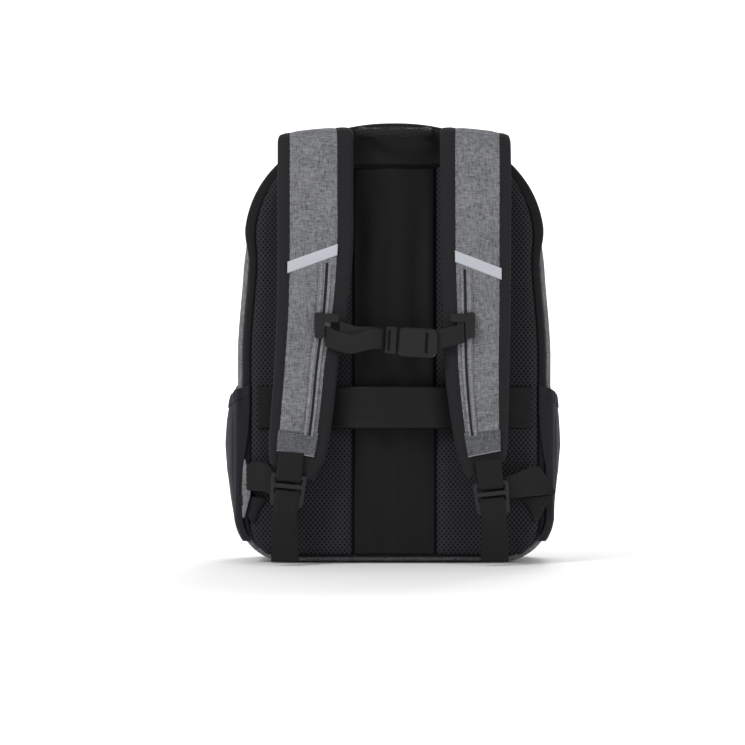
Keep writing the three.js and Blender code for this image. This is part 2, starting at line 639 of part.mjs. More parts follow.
// Male half: a bar that carries the webbing, a tongue, and two prongs that show in the windows.
function bucklePlug() {
  const { mouth, plugLeft, thick, y } = BUCKLE;
  const base = moulded(roundedRect(plugLeft, -13.5, mouth - plugLeft - 0.6, 27, 3), thick - 1, y, 1.2);
  const slot = new THREE.BoxGeometry(2.6, thick + 10, 21).translate(plugLeft + 3.8, y, 0);
  const tongue = moulded(roundedRect(mouth - 4, -2, 22, 4, 1), thick - 6, y, 0.5);
  const prong = (sign) => {
    const shape = new THREE.Shape();
    const place = (x, z) => [mouth + x, sign * z];
    shape.moveTo(...place(-4, 9));
    shape.lineTo(...place(6, 9));
    shape.lineTo(...place(8, 12.6));
    shape.lineTo(...place(16, 12.6));
    shape.lineTo(...place(19, 8));
    shape.lineTo(...place(19, 6));
    shape.lineTo(...place(-4, 6));
    shape.closePath();
    return moulded(shape, thick - 6.4, y, 0.5);
  };
  const joined = [tongue, prong(1), prong(-1)].reduce((body, tool) => cutOrJoin(body, tool, 'add'), base);
  return cutOrJoin(joined, slot, 'subtract').rotateY(degToRad(3)).translate(0, 0, BUCKLE.z - 1);
}

// Sternum webbing, given by its upper and lower edge.
const STERNUM = {
  left: [
    { y: -57, outerX: -69.6, outerZ: 242, innerX: -69.6, innerZ: 221 },
    { y: -60, outerX: -56, outerZ: 236, innerX: -57, innerZ: 216 },
    { y: -63, outerX: -41, outerZ: 233, innerX: -43, innerZ: 213.5 },
    { y: -64.4, outerX: -24, outerZ: 238, innerX: -25, innerZ: 217.5 },
    { y: -62, outerX: -14, outerZ: 238.6, innerX: -14, innerZ: 218.2 },
    { y: -60, outerX: -10.8, outerZ: 238.6, innerX: -10.8, innerZ: 218.2 },
  ],
  back: [
    { y: -58.4, outerX: -55.1, outerZ: 247, innerX: -55.1, innerZ: 227 },
    { y: -58.6, outerX: -40, outerZ: 241.5, innerX: -40, innerZ: 221.5 },
    { y: -59.4, outerX: -24, outerZ: 240.6, innerX: -24, innerZ: 220.2 },
    { y: -59, outerX: -16, outerZ: 239.8, innerX: -16, innerZ: 219.4 },
  ],
  right: [
    { y: -60, outerX: 43, outerZ: 237.2, innerX: 43, innerZ: 216.8 },
    { y: -60.4, outerX: 55, outerZ: 240.5, innerX: 55, innerZ: 220.4 },
    { y: -58.6, outerX: 69.4, outerZ: 244.4, innerX: 69.4, innerZ: 224.6 },
  ],
};

// Side pocket: a bowed wall from the back panel's edge round the body's side. across runs from its
// back edge to its front edge, and stand is how far a surface lies outside the wall's middle.
function pocketPoint(row, across, stand, sign) {
  const half = halfAt(row.z);
  const endY = POCKET.front * frontDepth(half, row.z);
  const hug = 1.4;
  const wrap = 0.2;
  const backY = PAD_SEAT - BINDING.thick - GAP - CLOTH / 2 - 0.2;
  const lift = smoothstep(row.z, POCKET_ROWS[0].z, POCKET_ROWS[POCKET_ROWS.length - 1].z);
  const z = row.z - POCKET.sag * lift * Math.sin(Math.PI * across);
  if (across < wrap) {
    const turn = across / wrap;
    const start = half - row.lap;
    const corner = 7;
    if (turn < 0.5) return vec(sign * lerp(start, half - 2, turn * 2), backY - stand, z);
    const angle = (turn - 0.5) * Math.PI;
    const radius = corner + stand;
    return vec(
      sign * (half - 2 + (hug + 2) * Math.sin(angle) + stand * Math.sin(angle)),
      backY + corner - radius * Math.cos(angle), z,
    );
  }
  const share = (across - wrap) / (1 - wrap);
  const bow = hug + (row.reach - hug - CLOTH / 2) * Math.sin(Math.PI * share ** 0.85) ** 0.7;
  return vec(sign * (half + bow + stand), lerp(backY + 7, endY, share), z);
}

function pocketSheet(rows, inner, outer, sign) {
  const grid = (stand) => rows.map((row) => (
    Array.from({ length: POCKET.columns + 1 }, (_, c) => pocketPoint(row, c / POCKET.columns, stand, sign))
  ));
  return slab(grid(outer), grid(inner));
}

const sidePocket = (sign) => pocketSheet(POCKET_ROWS, -CLOTH / 2, CLOTH / 2, sign);

function mouthBinding(sign) {
  const top = POCKET_ROWS[POCKET_ROWS.length - 1];
  const rows = [0, 0.5, 1].map((share) => {
    const z = top.z - MOUTH_BAND.high * (1 - share);
    return { z, reach: columnAt(POCKET_ROWS, 'reach', z), lap: columnAt(POCKET_ROWS, 'lap', z) };
  });
  return pocketSheet(rows, CLOTH / 2 + GAP, CLOTH / 2 + GAP + MOUTH_BAND.thick, sign);
}

// Zip tape over the arch, on the sides and top of the body.
function mainZip() {
  const arch = OUTLINE.filter((p) => p.y > MAIN_ZIP.from);
  const outward = (stand) => insetOutline(OUTLINE, (z) => bodyTuck(z) - stand)
    .filter((_, i) => OUTLINE[i].y > MAIN_ZIP.from);
  const grid = (stand) => [-0.5, 0.5].map((side) => outward(stand).map((p, i) => {
    const middle = MAIN_ZIP.share * frontDepth(arch[i].x, arch[i].y);
    return vec(p.x, middle + side * MAIN_ZIP.wide, p.y);
  }));
  return slab(grid(GAP + MAIN_ZIP.thick), grid(GAP));
}

// Slider with its pull, standing on a zip tape, in its own frame: tape in XY, pull along -X.
function zipSlider() {
  const shape = roundedRect(-7, -4.5, 14, 9, 2.5);
  const pull = roundedRect(-30, -3.5, 27, 7, 3);
  const body = new THREE.ExtrudeGeometry(shape, { depth: 3.4, bevelEnabled: false, curveSegments: 3 });
  const tab = new THREE.ExtrudeGeometry(pull, { depth: 1.6, bevelEnabled: false, curveSegments: 3 });
  tab.translate(0, 0, 2.6);
  return cutOrJoin(body, tab, 'add');
}

function frontPocketOutline() {
  const { low, high, half, corner } = FRONT;
  return roundedRect(-half, low, 2 * half, high - low, corner).getSpacedPoints(34).slice(0, -1);
}

const frontPocket = () => tub(
  frontPocketOutline(), FRONT_RINGS, () => 0,
  (x, z) => frontDepth(x, z) + FRONT.seat, () => FRONT.rise, (FRONT.low + FRONT.high) / 2,
);

// Zip tape across the top of the front pocket.
function frontZip() {
  const [columns, half, low, high] = [12, 84, 206, 222];
  const grid = (out) => [low, high].map((z) => Array.from({ length: columns + 1 }, (_, c) => {
    const x = lerp(-half, half, c / columns);
    return vec(x, frontDepth(x, z) + FRONT.seat + FRONT.rise + out, z);
  }));
  return slab(grid(GAP + 1.2), grid(GAP));
}

const fabric = (color, roughness = 0.9) => new THREE.MeshStandardMaterial({ color, roughness, metalness: 0 });
const FINISH = {
  heather: fabric('#767678'), black: fabric('#232325'), mesh: fabric('#1e1e22'),
  satin: fabric('#17171c', 0.55), web: fabric('#2b2b29', 0.8), stretch: fabric('#24232b', 0.8),
  silver: fabric('#bfc1c7', 0.5), plastic: fabric('#1e1e20', 0.4),
  zip: fabric('#202022', 0.7), metal: new THREE.MeshStandardMaterial({ color: '#4a4b4e', roughness: 0.35, metalness: 0.9 }),
};

const backpack = new THREE.Group();

function add(name, geometry, material) {
  const mesh = new THREE.Mesh(geometry, material);
  mesh.name = name;
  backpack.add(mesh);
  return mesh;
}

add('body_shell', bodyShell(), FINISH.heather);
add('back_board', backBoard(), FINISH.black);
add('panel_binding', panelBinding(), FINISH.web);
add('yoke_panel', yokePanel(), FINISH.mesh);
add('centre_channel', centreChannel(), FINISH.satin);
add('luggage_band', luggageBand(), FINISH.satin);
add('grab_handle', grabHandle(), FINISH.web);

for (const [side, sign, table, stripZ] of [['left', -1, STRAP_LEFT, 308], ['right', 1, STRAP_RIGHT, 302]]) {
  add(`back_pad_${side}`, backPad(sign), FINISH.mesh);
  add(`strap_pad_${side}`, strapPad(table), FINISH.black);
  add(`strap_face_${side}`, strapFace(table), FINISH.heather);
  add(`strap_reflector_${side}`, strapReflector(table, stripZ), FINISH.silver);
  add(`strap_rail_${side}`, strapRail(table), FINISH.black);
  add(`rail_clip_${side}`, railClip(sign, -58.4), FINISH.plastic);
  add(`side_pocket_${side}`, sidePocket(sign), FINISH.stretch);
  add(`pocket_binding_${side}`, mouthBinding(sign), FINISH.web);
  add(`anchor_wing_${side}`, anchorWing(sign), FINISH.black);
}

for (const lock of LOCKS) {
  const piece = add(`ladder_lock_${lock.side}`, ladderLock(), FINISH.plastic);
  piece.position.set(lock.x, lock.y, lock.z);
  piece.rotation.y = -lock.tilt;
  add(`strap_tab_${lock.side}`, strapTab(lock), FINISH.web);
  add(`adjust_web_${lock.side}`, adjustWeb(lock), FINISH.web);
  add(`web_tail_${lock.side}`, webTail(lock), FINISH.web);
}

for (const [name, table] of Object.entries(STERNUM)) {
  add(`sternum_web_${name}`, webbing(table, 12), FINISH.web);
}
add('buckle_socket', buckleSocket(), FINISH.plastic);
add('buckle_plug', bucklePlug(), FINISH.plastic);

add('main_zip', mainZip(), FINISH.zip);
for (const [side, sign] of [['left', -1], ['right', 1]]) {
  const slider = add(`zip_slider_${side}`, zipSlider(), FINISH.metal);
  const z = BODY.height - bodyTuck(BODY.height) + 2 * GAP + MAIN_ZIP.thick;
  slider.position.set(sign * 12, MAIN_ZIP.share * frontDepth(0, BODY.height), z + 0.2);
  slider.rotation.z = sign < 0 ? 0 : Math.PI;
}
add('front_pocket', frontPocket(), FINISH.heather);
add('front_zip', frontZip(), FINISH.zip);
const frontSlider = add('front_slider', zipSlider(), FINISH.metal);
frontSlider.rotation.set(-Math.PI / 2, 0, 0);
frontSlider.position.set(-60, frontDepth(-60, 214) + FRONT.seat + FRONT.rise + 3 * GAP + 1.2, 214);

const box = new THREE.Box3().setFromObject(backpack);
backpack.position.y = -(box.min.y + box.max.y) / 2;

export default backpack;
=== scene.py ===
"""Laptop backpack standing on its base, with the harness side towards the camera.

Lengths are millimetres in the working arrays and become metres when a mesh is made. Y is counted
from the plane where the back panel meets the body, so the panel and harness have negative Y.
"""
import math

import bpy
import numpy as np
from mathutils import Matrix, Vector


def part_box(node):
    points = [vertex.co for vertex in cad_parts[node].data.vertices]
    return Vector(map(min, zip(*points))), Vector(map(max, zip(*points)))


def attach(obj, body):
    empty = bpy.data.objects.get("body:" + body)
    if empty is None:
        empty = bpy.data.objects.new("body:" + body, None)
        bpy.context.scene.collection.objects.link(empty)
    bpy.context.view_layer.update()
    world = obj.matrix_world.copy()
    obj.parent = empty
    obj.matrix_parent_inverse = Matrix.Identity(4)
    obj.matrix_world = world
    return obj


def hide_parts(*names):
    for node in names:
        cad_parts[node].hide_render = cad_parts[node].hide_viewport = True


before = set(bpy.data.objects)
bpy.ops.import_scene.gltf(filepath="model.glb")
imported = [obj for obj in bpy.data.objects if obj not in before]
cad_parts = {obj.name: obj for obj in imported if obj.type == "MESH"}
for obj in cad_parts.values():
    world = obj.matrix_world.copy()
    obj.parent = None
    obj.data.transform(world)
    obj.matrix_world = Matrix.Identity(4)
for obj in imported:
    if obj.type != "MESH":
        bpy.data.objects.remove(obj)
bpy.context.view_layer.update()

# The view: the bag fills the middle of a square picture, seen level from the wearer's side by a
# long lens. The floor runs up behind the bag as one pale sweep, and three large soft lamps and a
# white sky light it evenly, as in a product photograph.
MM = 0.001
PANEL_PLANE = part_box("back_board")[1].y / MM + 0.3    # where Y = 0 lies in the frame
PICTURE = 745                                         # side of the picture in pixels
MM_PER_PIXEL = 1.0227
AXIS_PIXEL, BASE_PIXEL = 394.3, 563.0                 # the bag's middle and base in the photograph
LENS, SENSOR = 135.0, 36.0


def add_camera():
    """Level camera whose distance gives MM_PER_PIXEL at the back panel."""
    distance = PICTURE * MM_PER_PIXEL * LENS / SENSOR
    across = (PICTURE / 2 - AXIS_PIXEL) * MM_PER_PIXEL
    height = (BASE_PIXEL - PICTURE / 2) * MM_PER_PIXEL
    data = bpy.data.cameras.new("camera")
    data.lens, data.sensor_width, data.clip_end = LENS, SENSOR, 50
    camera = bpy.data.objects.new("camera", data)
    camera.location = (across * MM, (PANEL_PLANE - distance) * MM, height * MM)
    camera.rotation_euler = (math.pi / 2, 0, 0)
    bpy.context.scene.collection.objects.link(camera)
    bpy.context.scene.camera = camera


def linear(hex_colour, alpha=1.0):
    """sRGB hex to linear red, green, blue and alpha."""
    parts = [int(hex_colour[i:i + 2], 16) / 255 for i in (1, 3, 5)]
    return (*[c / 12.92 if c <= 0.04045 else ((c + 0.055) / 1.055) ** 2.4 for c in parts], alpha)


def add_node(tree, kind, inputs=None, **settings):
    """A node with its settings; each input is a value, or an output socket to link from."""
    node = tree.nodes.new(kind)
    for name, value in settings.items():
        setattr(node, name, value)
    for name, value in (inputs or {}).items():
        if isinstance(value, bpy.types.NodeSocket):
            tree.links.new(value, node.inputs[name])
        else:
            node.inputs[name].default_value = value
    return node


def new_material(name):
    """An empty material with its output, and its node tree."""
    material = bpy.data.materials.new(name)
    material.use_nodes = True
    material.node_tree.nodes.clear()
    return material, material.node_tree


def finish_material(material, settings, height=None, strength=0.0, depth=0.0):
    """Adds the Principled shader with its settings, a bump of depth mm that reads a height socket
    where there is one, and the output."""
    tree = material.node_tree
    if height is not None:
        bump = add_node(tree, "ShaderNodeBump", {
            "Height": height, "Strength": strength, "Distance": depth * MM})
        settings = {**settings, "Normal": bump.outputs[0]}
    shader = add_node(tree, "ShaderNodeBsdfPrincipled", settings)
    add_node(tree, "ShaderNodeOutputMaterial", {"Surface": shader.outputs[0]})
    return material


def add_sweep():
    """Floor and backdrop in one surface: flat, then a quarter circle, then upright."""
    flat, radius, top, half = 4.6, 1.4, 3.6, 7.0
    turn = np.linspace(0, math.pi / 2, 25)
    y = np.concatenate([[-6.0, flat - radius], flat - radius + radius * np.sin(turn), [flat]])
    z = np.concatenate([[0, 0], radius * (1 - np.cos(turn)), [top]])
    points = [(x, a, b) for a, b in zip(y, z) for x in (-half, half)]
    faces = [(2 * i, 2 * i + 1, 2 * i + 3, 2 * i + 2) for i in range(len(y) - 1)]
    mesh = bpy.data.meshes.new("sweep")
    mesh.from_pydata(points, [], faces)
    mesh.polygons.foreach_set("use_smooth", [True] * len(faces))
    sweep = bpy.data.objects.new("sweep", mesh)
    bpy.context.scene.collection.objects.link(sweep)
    paper, _ = new_material("pale paper backdrop")
    mesh.materials.append(finish_material(paper, {"Base Color": linear("#f7f7f7"), "Roughness": 0.9}))


def add_lamp(name, place, target, size, watts):
    """Square soft lamp at place, turned to face target."""
    data = bpy.data.lights.new(name, "AREA")
    data.shape, data.size, data.energy = "SQUARE", size, watts
    lamp = bpy.data.objects.new(name, data)
    lamp.visible_camera = False
    lamp.location = place
    towards = np.subtract(target, place)
    lamp.rotation_euler = (
        math.atan2(math.hypot(towards[0], towards[1]), -towards[2]), 0,
        math.atan2(towards[1], towards[0]) - math.pi / 2,
    )
    bpy.context.scene.collection.objects.link(lamp)


def add_light():
    world = bpy.data.worlds.new("white sky")
    bpy.context.scene.world = world
    world.use_nodes = True
    world.node_tree.nodes["Background"].inputs["Color"].default_value = (1, 1, 1, 1)
    world.node_tree.nodes["Background"].inputs["Strength"].default_value = 0.55
    middle = (0, 0, 0.25)
    add_lamp("key lamp", (-1.9, -2.1, 2.2), middle, 1.1, 62)
    add_lamp("fill lamp", (2.2, -2.2, 1.2), middle, 1.4, 22)
    add_lamp("rear lamp", (0.6, 2.4, 2.6), middle, 1.2, 40)
    add_lamp("backdrop lamp", (0, 2.4, 3.2), (0, 4.4, 0.4), 2.4, 90)
    bpy.context.scene.view_settings.view_transform = "Standard"


add_camera()
add_sweep()
add_light()

# The body: heather polyester pack cloth sewn into a rounded shell over foam, grey on the sides,
# base and front. Two-tone yarn gives it small lighter and darker flecks along both threads. It is
# open towards the back panel, which closes it, and corded piping stiffens its front edge.
HEIGHT = 450
BASE_HALF, CORNER_RISE = 108, 50
SIDE_HALF, SHOULDER_HALF, TAPER_FROM, SHOULDER_Z = 161, 154, 210, 325
ARCH_POWER = 2.15                    # 2 would make the top an ellipse; more makes it squarer
FRONT_MIDDLE = 200
CLOTH = 2.0
DEPTH_Z = [0, 90, 220, 330, 410, 450]
DEPTH = [118, 140, 144, 126, 90, 58]
CROWN, CROWN_HALF = 8, 133
# How far each ring of the body lies in from the silhouette, by its share of the depth.
RING_SHARE = [0, 0.05, 0.12, 0.45, 0.8, 0.87, 0.92, 0.955, 0.98, 0.993, 1]
RING_INSET = [4.5, 1, 0, 0, 0, 2, 5.4, 9.6, 15, 21, 28]
BODY_SHARES = np.concatenate([np.linspace(0, 0.8, 22), np.linspace(0.82, 1, 22)])
FLECK, FLECK_LONG = 1.2, 5           # thread pitch, coarser than real, and how long a fleck is
HEATHER_DARK, HEATHER_LIGHT = "#434447", "#828386"


def smooth_step(value, low, high):
    t = np.clip((value - low) / (high - low), 0, 1)
    return t * t * (3 - 2 * t)


def side_half(z):
    """Half width of the straight sides: full below, easing in towards the shoulder."""
    return SIDE_HALF - (SIDE_HALF - SHOULDER_HALF) * smooth_step(z, TAPER_FROM, SHOULDER_Z)


def silhouette(count=320):
    """Outline (x, z) from the middle of the base round by +X: base line, quarter ellipse, tapering
    side, squarer quarter ellipse over the top, then its mirror image, evenly spaced."""
    turn = np.linspace(0, math.pi / 2, 60)
    reach = side_half(CORNER_RISE) - BASE_HALF
    side = np.linspace(CORNER_RISE, SHOULDER_Z, 60)
    x = np.concatenate([[0], BASE_HALF + reach * np.sin(turn), side_half(side)[1:],
                        SHOULDER_HALF * np.clip(np.cos(turn), 0, 1)[1:] ** (2 / ARCH_POWER)])
    z = np.concatenate([[0], CORNER_RISE * (1 - np.cos(turn)), side[1:],
                        SHOULDER_Z + (HEIGHT - SHOULDER_Z) * np.sin(turn)[1:] ** (2 / ARCH_POWER)])
    x, z = np.concatenate([x, -x[-2::-1]]), np.concatenate([z, z[-2::-1]])
    length = np.concatenate([[0], np.cumsum(np.hypot(np.diff(x), np.diff(z)))])
    even = np.linspace(0, length[-1], count, endpoint=False)
    return np.stack([np.interp(even, length, x), np.interp(even, length, z)], -1)


def inset_outline(outline, inset):
    """Each point moved inwards along its own normal; inset is a number or one per point."""
    along = np.roll(outline, -1, 0) - np.roll(outline, 1, 0)
    along /= np.linalg.norm(along, axis=1, keepdims=True)
    inward = np.stack([-along[:, 1], along[:, 0]], -1)
    return outline + inward * np.reshape(np.broadcast_to(inset, len(outline)), (-1, 1))


def top_share(z):
    return smooth_step(z, 300, 345)


def body_tuck(z):
    """How far the body lies in behind the panel: nothing below, more towards the top."""
    return 3.5 * top_share(z) + 5 * smooth_step(z, 400, HEIGHT)


def panel_inset(z):
    return 6 * (1 - top_share(z)) + 0.6


def front_depth(x, z):
    """Depth of the front face: a table over the height, softened over 36 mm, plus a crown."""
    spread = np.linspace(-18, 18, 9)
    table = np.interp(np.asarray(z)[..., None] + spread, DEPTH_Z, DEPTH).mean(-1)
    return table + CROWN * (1 - (np.asarray(x) / CROWN_HALF) ** 2)


def put_mesh(name, points, faces, material, uv=None, caps=None):
    """Mesh object at the origin from points in mm, with its faces turned outwards. uv is in mm, one
    for each point; caps are the triangles that close the ends of a tube."""
    points, faces = np.asarray(points, float).reshape(-1, 3), np.asarray(faces, int)
    caps = np.zeros((0, 3), int) if caps is None else caps
    corner = points[faces]
    volume = sum(np.einsum("ij,ij", corner[:, 0], np.cross(corner[:, i], corner[:, i + 1]))
                 for i in range(1, faces.shape[1] - 1))
    if volume < 0:
        faces, caps = faces[:, ::-1], caps[:, ::-1]
    mesh = bpy.data.meshes.new(name)
    placed = (points + (0, PANEL_PLANE, 0)) * MM
    mesh.from_pydata(placed.tolist(), [], faces.tolist() + caps.tolist())
    mesh.polygons.foreach_set("use_smooth", np.ones(len(mesh.polygons), bool))
    if uv is not None:
        layer = mesh.uv_layers.new(name="UVMap")
        corners = np.zeros(len(mesh.loops), int)
        mesh.loops.foreach_get("vertex_index", corners)
        layer.data.foreach_set("uv", (np.reshape(uv, (-1, 2))[corners] * MM).ravel())
    mesh.materials.append(material)
    mesh.update()
    piece = bpy.data.objects.new(name, mesh)
    bpy.context.scene.collection.objects.link(piece)
    return piece


def grid_faces(rows, columns, start=0, wrap=False):
    """Quads of a grid of points numbered row by row; wrap joins the last column to the first."""
    c = np.arange(columns if wrap else columns - 1)
    r = np.arange(rows - 1)[:, None]
    right = (c + 1) % columns
    quads = np.stack([r * columns + c, r * columns + right, (r + 1) * columns + right,
                      (r + 1) * columns + c], -1)
    return quads.reshape(-1, 4) + start


def surface_uv(grid):
    """Distances along the rows and down the columns of a grid, in mm."""
    across = np.linalg.norm(np.diff(grid, axis=1), axis=2).mean(0)
    down = np.linalg.norm(np.diff(grid, axis=0), axis=2).mean(1)
    u = np.concatenate([[0], np.cumsum(across)])
    v = np.concatenate([[0], np.cumsum(down)])
    return np.stack(np.broadcast_arrays(u[None, :], v[:, None]), -1)


def sheet_mesh(name, front, back, material):
    """Closed cloth between two grids of the same size, joined round their four edges."""
    rows, columns = front.shape[:2]
    under = rows * columns
    number = np.arange(under).reshape(rows, columns)
    rim = np.concatenate([number[0, :-1], number[:-1, -1], number[-1, :0:-1], number[:0:-1, 0]])
    after = np.roll(rim, -1)
    sides = np.stack([after, rim, rim + under, after + under], -1)
    faces = np.concatenate([
        grid_faces(rows, columns), grid_faces(rows, columns, under)[:, ::-1], sides])
    points = np.concatenate([front.reshape(-1, 3), back.reshape(-1, 3)])
    uv = surface_uv(front)
    return put_mesh(name, points, faces, material, np.concatenate([uv, uv]))


def tube_mesh(name, rings, material, closed=False):
    """Rings of equal count joined one after another. Ends are drawn in to a point unless closed."""
    rings = np.asarray(rings, float)
    if closed:
        rings = np.concatenate([rings, rings[:1]])
    else:
        ends = rings[[0, -1]].mean(1, keepdims=True)
        tips = ends + (rings[[0, -1]] - ends) * 1e-3
        rings = np.concatenate([tips[:1], rings, tips[1:]])
    rows, sides = rings.shape[:2]
    uv = surface_uv(np.concatenate([rings, rings[:, :1]], 1))[:, :-1]
    if closed:
        count = (rows - 1) * sides
        faces = grid_faces(rows, sides, 0, True) % count
        return put_mesh(name, rings[:-1], faces, material, uv[:-1])
    hub = np.stack([rings[0].mean(0), rings[-1].mean(0)])
    last = (rows - 1) * sides
    i = np.arange(sides)
    j = (i + 1) % sides
    caps = np.concatenate([
        np.stack([np.full(sides, rows * sides), j, i], -1),
        np.stack([np.full(sides, rows * sides + 1), last + i, last + j], -1)])
    quads = grid_faces(rows, sides, 0, True)
    points = np.concatenate([rings.reshape(-1, 3), hub])
    uvs = np.concatenate([uv.reshape(-1, 2), uv[[0, -1], 0]])
    return put_mesh(name, points, quads, material, uvs, caps)


def sew_on(piece, slot, *nodes):
    """The piece belongs to the bag and stands for those CAD nodes, which are hidden; slot is not used."""
    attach(piece, "root")
    if nodes:
        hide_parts(*nodes)
    return piece


def cord_rings(path, radius, sides=8, steady=(0.0, 0.0, 1.0), closed=False):
    """Circles of a radius (one number or one per point) round a path of points, each started from
    the cross product of the path's direction and a steady direction that it never runs along."""
    path = np.asarray(path, float)
    along = np.roll(path, -1, 0) - np.roll(path, 1, 0) if closed else np.gradient(path, axis=0)
    along /= np.linalg.norm(along, axis=1, keepdims=True)
    side = np.cross(along, steady)
    side /= np.linalg.norm(side, axis=1, keepdims=True)
    other = np.cross(along, side)
    turn = np.linspace(0, 2 * math.pi, sides, endpoint=False)
    reach = np.reshape(np.broadcast_to(radius, len(path)), (-1, 1, 1))
    circle = (side[:, None] * np.cos(turn)[:, None] + other[:, None] * np.sin(turn)[:, None])
    return path[:, None] + circle * reach


def heather_cloth(name, dark, light):
    """Heather polyester: two noises, drawn out along the threads that lie flat and along those
    that stand up, are added and pick between a dark and a light yarn. A slow third noise lets the
    tone drift over a few centimetres."""
    material, tree = new_material(name)
    place = add_node(tree, "ShaderNodeTexCoord").outputs["Object"]
    along, across = 1 / (FLECK * FLECK_LONG * MM), 1 / (FLECK * MM)
    flecks = []
    for scale in ((along, along, across), (across, across, along)):
        mapped = add_node(tree, "ShaderNodeMapping", {"Vector": place, "Scale": scale})
        noise = add_node(tree, "ShaderNodeTexNoise", {
            "Vector": mapped.outputs[0], "Scale": 1.0, "Detail": 2.0, "Roughness": 0.6})
        flecks.append(noise.outputs["Fac"])
    threads = add_node(tree, "ShaderNodeMath", {0: flecks[0], 1: flecks[1]}, operation="ADD")
    drift = add_node(tree, "ShaderNodeTexNoise", {"Vector": place, "Scale": 45.0, "Detail": 2.0})
    mixed = add_node(tree, "ShaderNodeMath", {0: drift.outputs["Fac"], 1: 0.25, 2: threads.outputs[0]},
                     operation="MULTIPLY_ADD")
    ramp = add_node(tree, "ShaderNodeMapRange", {
        "Value": mixed.outputs[0], "From Min": 0.78, "From Max": 1.47, "To Min": 0.0, "To Max": 1.0})
    yarn = add_node(tree, "ShaderNodeValToRGB", {"Fac": ramp.outputs[0]})
    yarn.color_ramp.elements[0].color = linear(dark)
    yarn.color_ramp.elements[1].color = linear(light)
    return finish_material(material, {
        "Base Color": yarn.outputs[0], "Roughness": 0.9, "Specular IOR Level": 0.15},
        threads.outputs[0], 0.3, 0.5)


def slack(x, y, z):
    """Soft unevenness of sewn cloth in mm: three slow waves in different directions."""
    return (0.55 * np.sin(x / 31 + z / 47) * np.sin(z / 38 + 1.3)
            + 0.4 * np.sin(y / 17 + z / 29 + 0.8) + 0.25 * np.sin(z / 13 + y / 41) * np.sin(x / 23))


def body_skin(outline, wall):
    """One skin of the tub: rings of the outline, inset and pushed back by their share of the
    depth, then the last ring shrunk in steps towards the middle of the front."""
    insets = np.interp(BODY_SHARES, RING_SHARE, RING_INSET)
    rings = []
    for share, inset in zip(BODY_SHARES, insets):
        ring = inset_outline(outline, inset + wall + body_tuck(outline[:, 1]))
        rings.append((ring, share))
    middle = np.array([0, FRONT_MIDDLE])
    for scale in np.linspace(0.95, 0.03, 18):
        rings.append(((rings[len(BODY_SHARES) - 1][0] - middle) * scale + middle, 1.0))
    skin = []
    for ring, share in rings:
        x, z = ring.T
        y = share * (front_depth(x, z) - wall)
        lift = slack(x, y, z) * smooth_step(share, 0.02, 0.3)
        flat_base = smooth_step(z, 6, 30)
        skin.append(np.stack([x, y + lift * smooth_step(share, 0.9, 1) * 1.4, z], -1))
        outward = np.sign(x) * lift * flat_base * smooth_step(np.abs(x), 90, 150)
        skin[-1][:, 0] -= np.abs(outward) * np.sign(x) * (1 - smooth_step(share, 0.9, 1)) * 0.8
    return np.array(skin)


heather = heather_cloth("woven heather polyester", HEATHER_DARK, HEATHER_LIGHT)
outline = silhouette()
outer_skin, inner_skin = body_skin(outline, 0.0), body_skin(outline, CLOTH)
body = tube_mesh("body", np.concatenate([inner_skin[::-1], outer_skin]), heather)
sew_on(body, "heather_fabric", "body_shell")

# The back panel: a foam board under black polyester that closes the body, its rim turned round
# and sewn, with a flat ribbed tape stitched over the seam all the way round.
SEAM_GAP = 0.3
PANEL_THICK, PANEL_ROUND = 7.0, 2.0
PAD_SEAT = -(PANEL_THICK + 2 * SEAM_GAP)
PAD_SIDE_INSET, PAD_BASE_INSET, PAD_BASE_FADE = 15, 9, 70
TAPE_THICK, TAPE_EDGE, TAPE_RIB = 1.4, 0.8, 2.4


def pad_inset(z):
    """Inset of the pads' outer edge: less along the base and under the yoke."""
    base = 1 - smooth_step(z, 0, PAD_BASE_FADE)
    return PAD_SIDE_INSET + (PAD_BASE_INSET - PAD_SIDE_INSET) * base - 3 * top_share(z)


def plate_rings(edge, seat, thick, rounding, middle, swell=0.0):
    """Plate with a rounded front rim: rings of its edge from the back's middle, out to the rim and
    in over the front, each further forward; swell lifts the front's middle."""
    steps = np.linspace(0, math.pi / 2, 6)
    scales = np.linspace(0.04, 1, 10)
    rings = [((edge - middle) * s + middle, seat) for s in scales]
    inset = rounding * (1 - np.cos(steps))
    rings += [(inset_outline(edge, i), seat - thick + rounding * (1 - math.sin(t)))
              for i, t in zip(inset, steps)]
    rim = rings[-1][0]
    rings += [((rim - middle) * s + middle, seat - thick - swell * (1 - s * s)) for s in scales[-2::-1]]
    return np.array([np.stack([r[:, 0], np.broadcast_to(y, len(r)), r[:, 1]], -1) for r, y in rings])


def black_cloth(name, colour, roughness=0.85, weave=0.9, sheen=0.03):
    """Plain woven black cloth, its weave drawn a little coarser than real so that it shows."""
    material, tree = new_material(name)
    place = add_node(tree, "ShaderNodeTexCoord").outputs["Object"]
    bump_from = []
    for direction in ("X", "Z"):
        wave = add_node(tree, "ShaderNodeTexWave", {
            "Vector": place, "Scale": 0.5 / (weave * MM) / 3.14, "Distortion": 0.4},
            wave_type="BANDS", bands_direction=direction)
        bump_from.append(wave.outputs["Fac"])
    both = add_node(tree, "ShaderNodeMath", {0: bump_from[0], 1: bump_from[1]}, operation="MULTIPLY")
    return finish_material(material, {
        "Base Color": linear(colour), "Roughness": roughness, "Specular IOR Level": 0.12,
        "Sheen Weight": sheen, "Sheen Roughness": 0.5},
        both.outputs[0], 0.4, 0.3)


